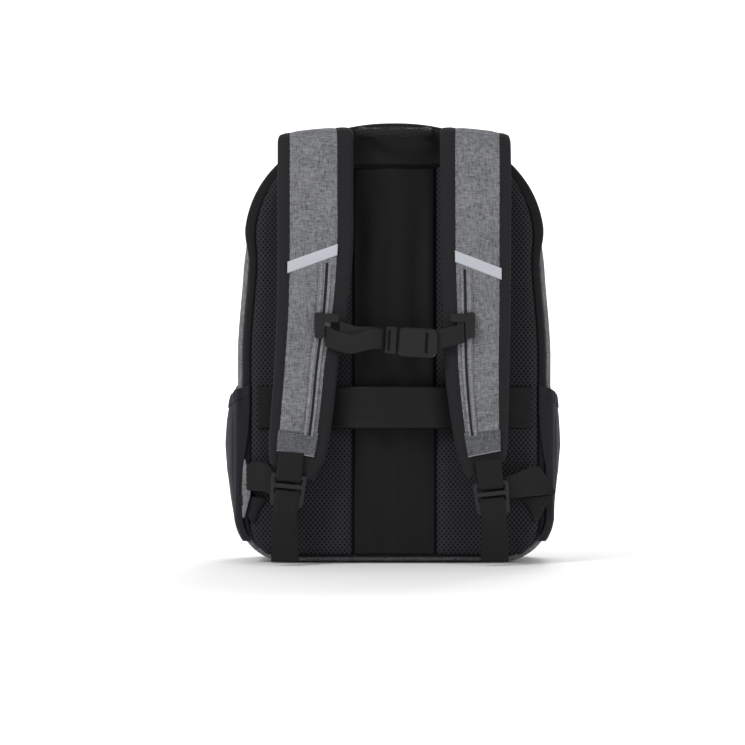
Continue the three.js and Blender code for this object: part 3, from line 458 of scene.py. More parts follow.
panel_cloth = black_cloth("black polyester pack cloth", "#1f1f22")
tape_cloth = black_cloth("black ribbed binding tape", "#1d1d1d", roughness=0.75, weave=1.1)
panel_edge = inset_outline(outline, panel_inset(outline[:, 1]))
panel = tube_mesh("back_panel", plate_rings(
    panel_edge, -SEAM_GAP, PANEL_THICK, PANEL_ROUND, np.array([0, FRONT_MIDDLE])), panel_cloth)
sew_on(panel, "black_fabric", "back_board")

across_tape = np.concatenate([np.linspace(0, 1, 13), np.linspace(1, 0, 5)[1:-1]])
on_front = np.arange(len(across_tape)) < 13
tape_outer = inset_outline(outline, panel_inset(outline[:, 1]) + TAPE_EDGE)
tape_inner = inset_outline(outline, pad_inset(outline[:, 1]) - TAPE_EDGE)
tape_height = np.where(on_front, TAPE_THICK * (0.45 + 0.55 * np.sin(np.pi * across_tape) ** 0.4), 0)
tape_plan = tape_outer[:, None] + (tape_inner - tape_outer)[:, None] * across_tape[None, :, None]
tape_y = np.broadcast_to(PAD_SEAT - tape_height, tape_plan.shape[:2])
tape_rings = np.stack([tape_plan[..., 0], tape_y, tape_plan[..., 1]], -1)
tape = tube_mesh("panel_tape", tape_rings, tape_cloth, closed=True)
sew_on(tape, "webbing", "panel_binding")

# The yoke: an arch of dense black knit padded with thin foam, stitched down over the top of the
# panel. The straps and the handle are sewn into its lower part.
YOKE_FROM, YOKE_INSET, YOKE_THICK = 409, 4, 4.2
YOKE_SEAT = PAD_SEAT - TAPE_THICK - SEAM_GAP


def knit_cloth(name, colour, loop=2.2):
    """Dense knit: rows of small rounded loops as a voronoi bump."""
    material, tree = new_material(name)
    place = add_node(tree, "ShaderNodeTexCoord").outputs["Object"]
    squash = add_node(tree, "ShaderNodeMapping", {"Vector": place, "Scale": (1, 1, 1.4)})
    cells = add_node(tree, "ShaderNodeTexVoronoi", {
        "Vector": squash.outputs[0], "Scale": 1 / (loop * MM), "Randomness": 0.35})
    return finish_material(material, {
        "Base Color": linear(colour), "Roughness": 0.9, "Specular IOR Level": 0.1,
        "Sheen Weight": 0.04, "Sheen Roughness": 0.5},
        cells.outputs["Distance"], 0.6, -0.6)


yoke_knit = knit_cloth("black padded knit", "#1c1c1e")
arch = inset_outline(outline, panel_inset(outline[:, 1]) + YOKE_INSET)
arch = arch[arch[:, 1] > YOKE_FROM]
foot_x = np.linspace(arch[-1, 0], arch[0, 0], 70)
foot = np.stack([foot_x, np.full(70, YOKE_FROM - 2.0)], -1)
yoke_edge = np.concatenate([arch, foot])
yoke = tube_mesh("yoke", plate_rings(
    yoke_edge, YOKE_SEAT, YOKE_THICK, 2.0, np.array([0, 425])), yoke_knit)
sew_on(yoke, "spacer_mesh", "yoke_panel")

# The back pads: two foam pads under black spacer mesh, an open knit of small diamonds over a
# darker backing, domed at their edges and stitched down beside the channel.
PAD_INNER, PAD_TOP, PAD_LOW = 43, 405, 9.4
PAD_DOME, PAD_RIM, PAD_ROUND, PAD_WIDE = 9.7, 2.2, 12, 106
DIAMOND_WIDE, DIAMOND_HIGH, DIAMOND_DEEP = 4.6, 5.6, 0.8
MESH_STEP = 1.25


def half_width(z):
    """Half width of the silhouette at height z: corner ellipse, side, or the arch."""
    z = np.asarray(z, float)
    corner = BASE_HALF + (SIDE_HALF - BASE_HALF) * np.sqrt(1 - np.clip(1 - z / CORNER_RISE, 0, 1) ** 2)
    rise = np.clip((z - SHOULDER_Z) / (HEIGHT - SHOULDER_Z), 0, 1)
    arch_part = SHOULDER_HALF * (1 - rise ** ARCH_POWER) ** (1 / ARCH_POWER)
    return np.where(z < CORNER_RISE, corner, np.where(z > SHOULDER_Z, arch_part, side_half(z)))


def diamond_lattice(x, z):
    """1 on the threads of the lattice and 0 in its holes: product of two slanted sines, inverted."""
    first = np.sin(math.pi * (x / DIAMOND_WIDE + z / DIAMOND_HIGH))
    second = np.sin(math.pi * (x / DIAMOND_WIDE - z / DIAMOND_HIGH))
    return 1 - np.abs(first * second)


def spacer_mesh():
    """Spacer mesh: the same lattice drawn in the colour, with near-black holes between threads."""
    material, tree = new_material("black diamond spacer mesh")
    place = add_node(tree, "ShaderNodeTexCoord").outputs["Object"]
    parts = add_node(tree, "ShaderNodeSeparateXYZ", {"Vector": place})
    across = add_node(tree, "ShaderNodeMath", {
        0: parts.outputs["X"], 1: math.pi / (DIAMOND_WIDE * MM)}, operation="MULTIPLY")
    up = add_node(tree, "ShaderNodeMath", {
        0: parts.outputs["Z"], 1: math.pi / (DIAMOND_HIGH * MM)}, operation="MULTIPLY")
    slants = []
    for way in ("ADD", "SUBTRACT"):
        phase = add_node(tree, "ShaderNodeMath", {0: across.outputs[0], 1: up.outputs[0]}, operation=way)
        slant = add_node(tree, "ShaderNodeMath", {0: phase.outputs[0]}, operation="SINE")
        slants.append(slant.outputs[0])
    both = add_node(tree, "ShaderNodeMath", {0: slants[0], 1: slants[1]}, operation="MULTIPLY")
    hole = add_node(tree, "ShaderNodeMath", {0: both.outputs[0]}, operation="ABSOLUTE")
    ramp = add_node(tree, "ShaderNodeValToRGB", {"Fac": hole.outputs[0]})
    thread, backing = ramp.color_ramp.elements
    thread.position, thread.color = 0.3, linear("#2c2c31")
    backing.position, backing.color = 0.75, linear("#070708")
    return finish_material(material, {
        "Base Color": ramp.outputs[0], "Roughness": 0.8, "Specular IOR Level": 0.12})


def back_pad(sign):
    """Front and back grids of one pad. Height over the seat is a quarter-ellipse dome within
    12 mm of the nearest edge, a slow swell over the middle, and the lattice's relief."""
    z = np.arange(PAD_LOW, PAD_TOP, MESH_STEP)[:, None]
    outer = half_width(z) - pad_inset(z)
    share = np.linspace(0, 1, int(PAD_WIDE / MESH_STEP))[None, :]
    x = PAD_INNER + (outer - PAD_INNER) * share
    slope = np.abs(np.gradient(outer[:, 0], z[:, 0]))[:, None]
    to_outer = (outer - x) / np.sqrt(1 + slope ** 2)
    to_edge = np.minimum(np.minimum(x - PAD_INNER, to_outer), np.minimum(z - PAD_LOW, PAD_TOP - z))
    rise = np.sqrt(1 - (1 - np.clip(to_edge / PAD_ROUND, 0, 1)) ** 2)
    relief = DIAMOND_DEEP * (diamond_lattice(x, z) - 1) * rise
    drift = 0.35 * np.sin(z / 27 + x / 19) * rise
    height = PAD_RIM * (rise > 0) + (PAD_DOME - PAD_RIM) * rise + relief + drift
    front = np.stack([sign * x, PAD_SEAT - height, np.broadcast_to(z, x.shape)], -1)
    back = np.stack([sign * x, np.full(x.shape, PAD_SEAT), np.broadcast_to(z, x.shape)], -1)
    return front, back


SIDES = {"left": -1, "right": 1}          # which way X runs from the middle
mesh_cloth = spacer_mesh()
for side, sign in SIDES.items():
    pad = sheet_mesh(f"{side}_back_pad", *back_pad(sign), mesh_cloth)
    sew_on(pad, "spacer_mesh", f"back_pad_{side}")

# The channel: black satin lining gathered slightly across, so that it lies in long soft vertical
# folds between the pads. It is sewn in under the pads' inner edges.
CHANNEL_HALF, CHANNEL_LOW, CHANNEL_HIGH, SATIN_THICK = 41.5, 9.6, 403, 1.6


def satin_cloth(name, colour, roughness):
    """Smooth satin: dark, with a broad soft sheen along the folds."""
    material, tree = new_material(name)
    place = add_node(tree, "ShaderNodeTexCoord").outputs["Object"]
    grain = add_node(tree, "ShaderNodeTexNoise", {"Vector": place, "Scale": 900.0, "Detail": 2.0})
    return finish_material(material, {
        "Base Color": linear(colour), "Roughness": roughness, "Specular IOR Level": 0.16},
        grain.outputs["Fac"], 0.25, 0.2)


def channel_sheet():
    """Front grid: distance out from the seat is a sum of vertical folds that wander with the
    height, fading to nothing at both sides and flattening under the yoke."""
    z = np.linspace(CHANNEL_LOW, CHANNEL_HIGH, 160)[:, None]
    x = np.linspace(-CHANNEL_HALF, CHANNEL_HALF, 80)[None, :]
    wander = 3.5 * np.sin(z / 61) + 2 * np.sin(z / 23 + 2)
    side = np.abs(np.cos(math.pi / 2 * x / CHANNEL_HALF)) ** 0.35
    folds = (1.5 * np.sin((x + wander) / 5.1 + 0.6) + 1.1 * np.sin((x - wander) / 8.3 + z / 150)
             + 0.5 * np.sin(x / 2.6 + z / 70 + wander / 3) * smooth_step(z, 160, 20))
    ease = 0.35 + 0.65 * smooth_step(z, 400, 300)
    out = SATIN_THICK + (1.9 + folds * 0.75 * ease) * side
    return np.stack(np.broadcast_arrays(x, PAD_SEAT - np.maximum(out, SATIN_THICK * 0.8), z), -1)


satin = satin_cloth("black satin lining", "#0c0c0e", 0.5)
channel_front = channel_sheet()
channel_back = channel_front * (1, 0, 1) + (0, PAD_SEAT, 0)
channel = sheet_mesh("satin_channel", channel_front, channel_back, satin)
sew_on(channel, "satin_lining", "centre_channel")

# The pass-through band: a doubled band of black satin across the back, its long edges folded and
# topstitched and its ends sewn down on the pads with crossed boxes. Its middle stands off the pads.
BAND_HALF, BAND_LOW, BAND_HIGH, BAND_THICK = 139, 138, 181, 2.4
BAND_FLAT_FROM, BAND_BOW = 104, 15
PAD_FACE = PAD_SEAT - PAD_DOME
STITCH_LONG, STITCH_GAP, STITCH_WIDE = 2.6, 1.2, 0.55


def band_seat(x):
    """Y of the band's inner side: on the pads at both ends, bowed out by 15 mm in the middle."""
    share = np.clip((BAND_FLAT_FROM - np.abs(x)) / BAND_FLAT_FROM, 0, 1)
    return PAD_FACE - SEAM_GAP - BAND_BOW * np.sin(math.pi / 2 * share) ** 1.5


def band_front(x, z):
    """Y of the band's outer side: thicker along the folded hems, sunk along their stitching."""
    middle, half = (BAND_LOW + BAND_HIGH) / 2, (BAND_HIGH - BAND_LOW) / 2
    from_edge = half - np.abs(z - middle)
    hem = np.sqrt(np.clip(from_edge / 1.2, 0, 1)) * (1 + 0.35 * smooth_step(from_edge, 7, 5))
    seam = 0.3 * np.exp(-((from_edge - 5.2) / 0.7) ** 2)
    ripple = 0.5 * np.sin(x / 9 + z / 15) * np.sin(x / 23 + 1) * smooth_step(np.abs(x), 130, 90)
    return band_seat(x) - BAND_THICK * (0.3 + 0.6 * hem) + seam - ripple


def stitch_row(start_points, directions, outward, size=(STITCH_LONG, STITCH_WIDE, 0.35)):
    """Small raised lozenges: one at each point, its length along its direction, standing outward.
    size is the length, width and height."""
    start = np.asarray(start_points, float)[:, None]
    along = np.asarray(directions, float)[:, None] * size[0] / 2
    out = np.broadcast_to(outward, start[:, 0].shape)[:, None] * size[2]
    wide = np.cross(along, out)
    wide *= size[1] / 2 / np.maximum(np.linalg.norm(wide, axis=-1, keepdims=True), 1e-9)
    corners = np.concatenate([start - along, start + wide, start + along, start - wide,
                              start + out, start - out * 0.6], 1)
    one = np.array([[0, 1, 4], [1, 2, 4], [2, 3, 4], [3, 0, 4],
                    [1, 0, 5], [2, 1, 5], [3, 2, 5], [0, 3, 5]])
    faces = (one[None] + 6 * np.arange(len(start))[:, None, None]).reshape(-1, 3)
    return corners.reshape(-1, 3), faces


def stitches_along(path, pitch=STITCH_LONG + STITCH_GAP):
    """Middle points and directions of stitches a pitch apart along a path of points."""
    path = np.asarray(path, float)
    run = np.concatenate([[0], np.cumsum(np.linalg.norm(np.diff(path, axis=0), axis=1))])
    middles = np.arange(pitch / 2, run[-1] - pitch / 2, pitch)

    def at(distance):
        return np.stack([np.interp(distance, run, path[:, i]) for i in range(3)], -1)
    along = at(middles + 0.5) - at(middles - 0.5)
    return at(middles), along / np.linalg.norm(along, axis=1, keepdims=True)


def sew_stitches(name, paths, outwards, material, slot):
    """All stitches of one piece as a single mesh."""
    points, faces, count = [], [], 0
    for path, outward in zip(paths, outwards):
        p, f = stitch_row(*stitches_along(path), np.asarray(outward, float))
        points.append(p)
        faces.append(f + count)
        count += len(p)
    stitches = put_mesh(name, np.concatenate(points), np.concatenate(faces), material)
    sew_on(stitches, slot)
    return stitches


thread = black_cloth("black polyester thread", "#26262a", roughness=0.55)
satin_band = satin_cloth("black satin band", "#131315", 0.45)
band_x, band_z = np.meshgrid(np.linspace(-BAND_HALF, BAND_HALF, 220), np.linspace(BAND_LOW, BAND_HIGH, 40))
band = sheet_mesh(
    "back_band", np.stack([band_x, band_front(band_x, band_z), band_z], -1),
    np.stack([band_x, band_seat(band_x), band_z], -1), satin_band)
sew_on(band, "satin_lining", "luggage_band")
on_band = [
    [(x0, z0), (x1, z1)] for x0, z0, x1, z1 in (
        (-136, 143, 136, 143), (-136, 176, 136, 176), (-136, 143, -136, 176), (-112, 143, -112, 176),
        (-136, 143, -112, 176), (-136, 176, -112, 143), (136, 143, 136, 176), (112, 143, 112, 176),
        (136, 143, 112, 176), (136, 176, 112, 143))]
band_paths = []
for ends in on_band:
    flat = np.linspace(ends[0], ends[1], 80)
    band_paths.append(np.stack([flat[:, 0], band_front(flat[:, 0], flat[:, 1]), flat[:, 1]], -1))
sew_stitches("back_band_stitches", band_paths, [(0, -1, 0)] * len(band_paths), thread, "satin_lining")

# The side pockets: stretch jersey bowed over the lower sides and lapped on to the back panel's
# edge, open at the top, where a doubled elastic tape gathers the cloth.
POCKET_Z = [23, 29, 36, 46, 72, 100, 130, 158, 182]
POCKET_REACH = {-1: [2.6, 2.7, 3.1, 4.4, 8.6, 12.6, 13.6, 12, 8],
                1: [2.6, 2.6, 2.6, 2.8, 5.5, 9.8, 11.2, 9.8, 7]}
POCKET_LAP = [7, 6.6, 6.4, 6.3, 6.3, 7, 12, 14, 14]
POCKET_FRONT, POCKET_SAG = 0.78, 13
POCKET_HUG, POCKET_WRAP, POCKET_CORNER = 1.4, 0.2, 7
MOUTH_HIGH, MOUTH_THICK = 11, 1.4


def pocket_point(z, across, stand, sign):
    """Point of a pocket at height z and share across from its back edge to its front edge: a flat
    lap on the panel, a quarter turn round the corner, then a bow along the body's side."""
    half = half_width(z)
    reach, lap = np.interp(z, POCKET_Z, POCKET_REACH[sign]), np.interp(z, POCKET_Z, POCKET_LAP)
    end_y = POCKET_FRONT * front_depth(half, z)
    back_y = PAD_SEAT - TAPE_THICK - SEAM_GAP - CLOTH / 2 - 0.2
    lift = smooth_step(z, POCKET_Z[0], POCKET_Z[-1])
    hung = z - POCKET_SAG * lift * np.sin(math.pi * across)
    turn = np.clip(across / POCKET_WRAP, 0, 1)
    lap_x = half - lap + (lap - 2) * np.clip(turn * 2, 0, 1)
    angle = np.clip(turn - 0.5, 0, 0.5) * math.pi
    corner_x = half - 2 + (POCKET_HUG + 2) * np.sin(angle) + stand * np.sin(angle)
    corner_y = back_y + POCKET_CORNER - (POCKET_CORNER + stand) * np.cos(angle)
    share = np.clip((across - POCKET_WRAP) / (1 - POCKET_WRAP), 0, 1)
    bow = POCKET_HUG + (reach - POCKET_HUG - CLOTH / 2) * np.sin(math.pi * share ** 0.85) ** 0.7
    x = np.where(turn < 0.5, lap_x, np.where(turn < 1, corner_x, half + bow + stand))
    y = np.where(turn < 0.5, back_y - stand, np.where(
        turn < 1, corner_y, back_y + POCKET_CORNER + (end_y - back_y - POCKET_CORNER) * share))
    return np.stack([sign * x, y, hung], -1)


def pocket_surface(z, across, stand, sign):
    """Pocket wall with soft pulls: gathers under the mouth and slow slanting drags below it."""
    gather = 0.45 * np.sin(across * 75) * smooth_step(z, 150, 178)
    drags = 0.8 * np.sin(across * 9 + z / 24) * np.sin(z / 33 + 1) * smooth_step(across, 0.15, 0.4)
    drags = drags * smooth_step(1 - across, 0.03, 0.2) * smooth_step(z, 25, 60)
    return pocket_point(z, across, stand + np.minimum(gather + drags, 1.2), sign)


jersey = black_cloth("black stretch jersey", "#212126", roughness=0.8, weave=0.8, sheen=0.06)
pocket_z, pocket_across = np.meshgrid(
    np.linspace(POCKET_Z[0], POCKET_Z[-1], 100), np.linspace(0, 1, 96), indexing="ij")
mouth_z, mouth_across = np.meshgrid(
    np.linspace(POCKET_Z[-1] - MOUTH_HIGH, POCKET_Z[-1] + 0.4, 16), np.linspace(0, 1, 220), indexing="ij")
for side, sign in SIDES.items():
    outside = pocket_surface(pocket_z, pocket_across, CLOTH / 2, sign)
    inside = pocket_surface(pocket_z, pocket_across, -CLOTH / 2, sign)
    pocket = sheet_mesh(f"{side}_side_pocket", outside, inside, jersey)
    sew_on(pocket, "stretch_fabric", f"side_pocket_{side}")
    roll = 0.35 * np.sin(math.pi * np.linspace(0, 1, 16))[:, None] ** 0.5
    pucker = 0.15 * np.sin(mouth_across * 150)
    over = pocket_surface(mouth_z, mouth_across, CLOTH / 2 + SEAM_GAP + 0.4 + roll + pucker, sign)
    under = pocket_surface(mouth_z, mouth_across, CLOTH / 2 + 0.1, sign)
    mouth = sheet_mesh(f"{side}_pocket_elastic", over, under, jersey)
    sew_on(mouth, "webbing", f"pocket_binding_{side}")

# The shoulder straps: curved foam pads in black cloth, bound along both edges with black tape, and
# faced with heather cloth whose edges lie under the tape. They rise over the yoke, hang forward and
# narrow to an end where the heather is turned under and sewn across twice.
# Rows give y, then x and z of the outer edge, then x and z of the inner edge.
STRAP_ROWS = {
    "left": np.array([
        (-18.3, -112, 404, -46, 411), (-19.2, -115, 418.5, -45, 425), (-26, -117, 430.5, -44, 438),
        (-36, -118, 429, -42, 436.5), (-43, -118, 412, -41.5, 416), (-46, -118, 380, -41.4, 380),
        (-48, -118, 320, -41.6, 322), (-48, -118.5, 260, -46.6, 262), (-47, -121, 205, -56.2, 205),
        (-45, -125, 150, -62.6, 148), (-42, -127, 118, -70, 108), (-40, -125, 103, -82, 86)]),
    "right": np.array([
        (-18.3, 111, 404, 47, 411), (-19.2, 114, 418.5, 46.5, 425), (-26, 116, 430.5, 46, 438),
        (-36, 117, 429, 45.8, 436.5), (-43, 117.3, 412, 45.6, 416), (-46, 117.3, 380, 45.6, 380),
        (-48, 117, 320, 46, 322), (-48, 116.5, 260, 48, 262), (-47, 115.5, 205, 49.6, 205),
        (-45, 114.5, 150, 56.5, 148), (-42, 113.5, 118, 64.5, 108), (-40, 111, 106, 73, 89)])}
STRAP_THICK, FACE_THICK = 9.0, 1.2
OUTER_TAPE, INNER_TAPE, MIDDLE_WIDTH = 12, 15.6, 76.4
FACE_LEFT, FACE_RIGHT = OUTER_TAPE / MIDDLE_WIDTH, 1 - INNER_TAPE / MIDDLE_WIDTH
FACE_FROM, FACE_TO = 0.2, 0.955
END_SEAM, END_PATCH = 137, 113           # heights of the sewn turn and of the patch's lower edge
REFLECTOR_Z = {"left": 310, "right": 303.5}
REFLECTOR_HIGH, REFLECTOR_RISE, REFLECTOR_RIGHT = 11.5, 25, 0.79


def curve_through(points, share):
    """Centripetal Catmull-Rom curve through points: each span is a cubic whose end slopes come
    from its neighbours, weighted by the square roots of the spans. share runs from 0 to 1."""
    points = np.asarray(points, float)
    ends = 2 * points[[0, -1]] - points[[1, -2]]
    padded = np.concatenate([ends[:1], points, ends[1:]])
    place = np.clip(np.asarray(share, float), 0, 1) * (len(points) - 1)
    i = np.minimum(place.astype(int), len(points) - 2)
    t = (place - i)[:, None]
    p0, p1, p2, p3 = (padded[i + k] for k in range(4))
    d0, d1, d2 = (np.sqrt(np.linalg.norm(b - a, axis=1))[:, None] for a, b in ((p0, p1), (p1, p2), (p2, p3)))
    m1 = ((p1 - p0) / d0 - (p2 - p0) / (d0 + d1) + (p2 - p1) / d1) * d1
    m2 = ((p2 - p1) / d1 - (p3 - p1) / (d1 + d2) + (p3 - p2) / d2) * d1
    return p1 + m1 * t + (3 * (p2 - p1) - 2 * m1 - m2) * t ** 2 + (2 * (p1 - p2) + m1 + m2) * t ** 3


def strip_surface(rows, runs, shares, lift):
    """Grid of points on a strip between its outer and inner edge curves, at shares of its run and
    of its width, standing off by lift mm along the strip's own normal, which ends facing the
    wearer. shares may differ from row to row."""
    rows = np.asarray(rows, float)
    runs = np.asarray(runs, float)
    shares = np.broadcast_to(shares, (len(runs), np.shape(shares)[-1]))

    def edges(at):
        outer = curve_through(rows[:, [1, 0, 2]], at)
        inner = curve_through(rows[:, [3, 0, 4]], at)
        return outer, inner

    def normal(at):
        outer, inner = edges(at)
        ahead, behind = edges(np.minimum(at + 0.01, 1)), edges(np.maximum(at - 0.01, 0))
        along = ahead[0] + ahead[1] - behind[0] - behind[1]
        out = np.cross(along, inner - outer)
        return out / np.linalg.norm(out, axis=1, keepdims=True)
    outer, inner = edges(runs)
    facing = 1 if normal(np.array([1.0]))[0, 1] < 0 else -1
    flat = outer[:, None] + (inner - outer)[:, None] * shares[..., None]
    return flat + facing * normal(runs)[:, None] * np.broadcast_to(lift, shares.shape)[..., None]


def run_at(rows, z):
    """Share of a strap's run at which its middle is at height z on the wearer's side."""
    middle = (rows[3:, 2] + rows[3:, 4]) / 2
    place = np.interp(-np.asarray(z, float), -middle, np.arange(3, len(rows)))
    return place / (len(rows) - 1)


def core_lift(runs, shares, width):
    """Half thickness of a strap: full in the middle, thinner and rounded at the edges, with the
    binding tape standing 1 mm proud and dipping where it is sewn to the face."""
    s = shares[None, :]
    from_outer, from_inner = s * width[:, None], (1 - s) * width[:, None]
    near = np.minimum(from_outer, from_inner)
    full = STRAP_THICK / 2 * (1 - 0.65 * np.abs(2 * s - 1) ** 6)
    rim = np.sqrt(1 - (1 - np.clip(near / 2.4, 0, 1)) ** 2)
    back = -full * (0.08 + 0.92 * rim)
    outer_tape = FACE_LEFT * width[:, None]
    inner_tape = (1 - FACE_RIGHT) * width[:, None]
    on_outer = smooth_step(from_outer, outer_tape + 1.4, outer_tape + 0.2)
    on_inner = smooth_step(from_inner, inner_tape + 1.4, inner_tape + 0.2)
    sewn = np.exp(-((from_outer - outer_tape + 1.8) / 0.8) ** 2)
    sewn = sewn + np.exp(-((from_inner - inner_tape + 1.8) / 0.8) ** 2)
    puckers = 0.18 * np.sin(runs[:, None] * 460) * (on_outer + on_inner)
    front = (full + 1.25 * (on_outer + on_inner) - 0.45 * sewn + puckers) * (0.08 + 0.92 * rim)
    return front, back


def strap_width(rows, runs):
    outer = curve_through(rows[:, [1, 0, 2]], runs)
    return np.linalg.norm(curve_through(rows[:, [3, 0, 4]], runs) - outer, axis=1)


def face_grid(rows, runs, shares, under):
    """The heather face: domed a little across, dipping under the tape at both sides, with slow
    waves along the strap. under gives its inner side."""
    across = (shares - FACE_LEFT) / (FACE_RIGHT - FACE_LEFT)
    dome = np.clip(1 - (2 * across - 1) ** 4, 0, 1)[None, :]
    waves = 0.22 * np.sin(runs[:, None] * 33 + across[None, :] * 2) * dome
    top = STRAP_THICK / 2 + 0.35 + (SEAM_GAP + FACE_THICK - 0.2) * dome + waves
    lift = top - FACE_THICK * 0.8 if under else top
    return strip_surface(rows, runs, shares, lift)


def reflective_cloth():
    """Reflective tape: pale grey film on cloth, evenly glossy, with a fine woven grain."""
    material, tree = new_material("grey reflective tape")
    place = add_node(tree, "ShaderNodeTexCoord").outputs["Object"]
    grain = add_node(tree, "ShaderNodeTexNoise", {"Vector": place, "Scale": 1400.0, "Detail": 1.0})
    return finish_material(material, {
        "Base Color": linear("#a9acb2"), "Roughness": 0.42},
        grain.outputs["Fac"], 0.3, 0.15)


def reflector_grid(rows, side, lift):
    """Strip across the face whose inner edge would stand 25 mm higher than its outer edge."""
    z = REFLECTOR_Z[side]
    runs = np.linspace(run_at(rows, z + REFLECTOR_HIGH / 2), run_at(rows, z - REFLECTOR_HIGH / 2), 14)
    shares = np.linspace(FACE_LEFT - 0.02, REFLECTOR_RIGHT + 0.01, 46)
    skewed = rows + np.array([0, 0, -REFLECTOR_RISE / 2, 0, REFLECTOR_RISE / 2])
    edge = np.sin(math.pi * np.linspace(0, 1, 14))[:, None] ** 0.3
    return strip_surface(skewed, runs, shares, lift * (0.93 + 0.07 * edge))


core_cloth = black_cloth("black strap foam cover and tape", "#202022", weave=1.2)
silver = reflective_cloth()
grey_thread = black_cloth("grey polyester thread", "#7d7e80", roughness=0.6)
# A darker copy of the heather cloth: painted shade, used on the strap ends and the front piping.
shaded_heather_copy = heather_cloth("heather polyester in painted shade", "#38393c", "#66676a")
for side, rows in STRAP_ROWS.items():
    runs, shares = np.linspace(0, 1, 260), np.linspace(0, 1, 61)
    lifts = core_lift(runs, shares, strap_width(rows, runs))
    strap = sheet_mesh(f"{side}_strap_pad", strip_surface(rows, runs, shares, lifts[0]),
                       strip_surface(rows, runs, shares, lifts[1]), core_cloth)
    sew_on(strap, "black_fabric", f"strap_pad_{side}")

    face_runs = np.linspace(FACE_FROM, float(run_at(rows, END_SEAM - 6)), 200)
    face_shares = np.linspace(FACE_LEFT - 0.012, FACE_RIGHT + 0.012, 34)
    face = sheet_mesh(f"{side}_strap_face", face_grid(rows, face_runs, face_shares, False),
                      face_grid(rows, face_runs, face_shares, True), heather)
    sew_on(face, "heather_fabric", f"strap_face_{side}")

    tape_top = strip_surface(rows, runs, shares, STRAP_THICK / 2 + 1.0)
    outer_column, inner_column = [
        int(np.argmin(np.abs(shares - s))) for s in (FACE_LEFT - 0.025, FACE_RIGHT + 0.025)]
    sew_stitches(f"{side}_strap_stitches", [tape_top[62:, outer_column], tape_top[62:, inner_column]],
                 [(0, -1, 0)] * 2, thread, "webbing")

    glint = sheet_mesh(f"{side}_reflector", reflector_grid(rows, side, STRAP_THICK / 2 + 2.3),
                       reflector_grid(rows, side, STRAP_THICK / 2 + 1.5), silver)
    sew_on(glint, "reflective_tape", f"strap_reflector_{side}")

    # The strap's end: heather turned under below two rows of stitching, its raw edge frayed pale.
    patch_runs = np.linspace(float(run_at(rows, END_SEAM)), float(run_at(rows, END_PATCH)), 40)
    patch_shares = np.linspace(FACE_LEFT - 0.01, FACE_RIGHT + 0.01, 40)
    sag = 0.25 * np.sin(patch_shares[None, :] * 9) * np.linspace(0, 1, 40)[:, None]
    # The end patch is the darker copy of the heather: painted shade on the turned-under end.
    patch = sheet_mesh(
        f"{side}_strap_end", strip_surface(rows, patch_runs, patch_shares, STRAP_THICK / 2 + 2.1 + sag),
        strip_surface(rows, patch_runs, patch_shares, STRAP_THICK / 2 + 0.4 + 0 * sag), shaded_heather_copy)
    sew_on(patch, "heather_fabric")
    seams = [strip_surface(rows, run_at(rows, np.full(2, z)), patch_shares, STRAP_THICK / 2 + 2.2)[0]
             for z in (END_SEAM - 1.5, END_SEAM - 6.5)]
    hem = strip_surface(rows, run_at(rows, np.full(2, END_PATCH + 1)), patch_shares, STRAP_THICK / 2 + 2.1)[0]
    sew_stitches(f"{side}_strap_end_stitches", seams, [(0, -1, 0)] * 2, thread, "webbing")
    frayed = tube_mesh(f"{side}_strap_frayed_edge", cord_rings(hem, 0.55, 6), grey_thread)
    sew_on(frayed, "heather_fabric")

# The rails: on each strap a placket of heather cloth folded round a cord, with a narrow dark gap
# beside it in which the clip of the sternum strap slides, sewn down along both sides.
RAIL_BELOW, RAIL_BOTTOM, RAIL_LEFT, RAIL_RIGHT = 5.5, 134, 0.56, 0.725
RAIL_CORD, RAIL_GAP = (0.6, 1.7), (0.645, 0.684)      # share and radius of the cord, shares of the gap

placket_cloth = heather_cloth("folded heather placket", "#545558", "#8d8e91")
for side, rows in STRAP_ROWS.items():
    top = REFLECTOR_Z[side] - RAIL_BELOW
    runs = np.linspace(float(run_at(rows, top)), float(run_at(rows, RAIL_BOTTOM)), 120)
    rail_shares = np.linspace(RAIL_LEFT, RAIL_RIGHT, 30)
    fold = 0.45 * smooth_step(rail_shares, RAIL_GAP[1], RAIL_GAP[1] + 0.012)[None, :]
    rail = sheet_mesh(
        f"{side}_rail", strip_surface(rows, runs, rail_shares, STRAP_THICK / 2 + 2.0 + fold),
        strip_surface(rows, runs, rail_shares, STRAP_THICK / 2 + 1.2), placket_cloth)
    sew_on(rail, "webbing", f"strap_rail_{side}")
    cord_path = strip_surface(
        rows, runs, np.array([RAIL_CORD[0], RAIL_CORD[0] + 0.01]), STRAP_THICK / 2 + 2.0)[:, 0]
    cord = tube_mesh(f"{side}_rail_cord", cord_rings(cord_path, RAIL_CORD[1], 12, (1, 0, 0)), placket_cloth)
    sew_on(cord, "webbing")
    gap_shares = np.linspace(*RAIL_GAP, 6)
    gap = sheet_mesh(
        f"{side}_rail_gap", strip_surface(rows, runs, gap_shares, STRAP_THICK / 2 + 2.15),
        strip_surface(rows, runs, gap_shares, STRAP_THICK / 2 + 1.8), core_cloth)
    sew_on(gap, "webbing")
    beside = strip_surface(rows, runs, np.array([RAIL_LEFT - 0.012, RAIL_RIGHT]), STRAP_THICK / 2 + 2.0)
    sew_stitches(f"{side}_rail_stitches", [beside[:, 0], beside[:, 1]], [(0, -1, 0)] * 2, thread, "webbing")

# The grab handle: webbing rolled inside a gathered sleeve of black cloth, full of lengthwise
# creases, with a bunched knot at each end where it is sewn into the yoke.
HANDLE_HALF, HANDLE_Z, HANDLE_SAG, HANDLE_REACH = 33, 439, 2, 27
HANDLE_RADIUS, HANDLE_KNOT = 4.6, 6.2
HANDLE_SEAT = YOKE_SEAT - YOKE_THICK - SEAM_GAP


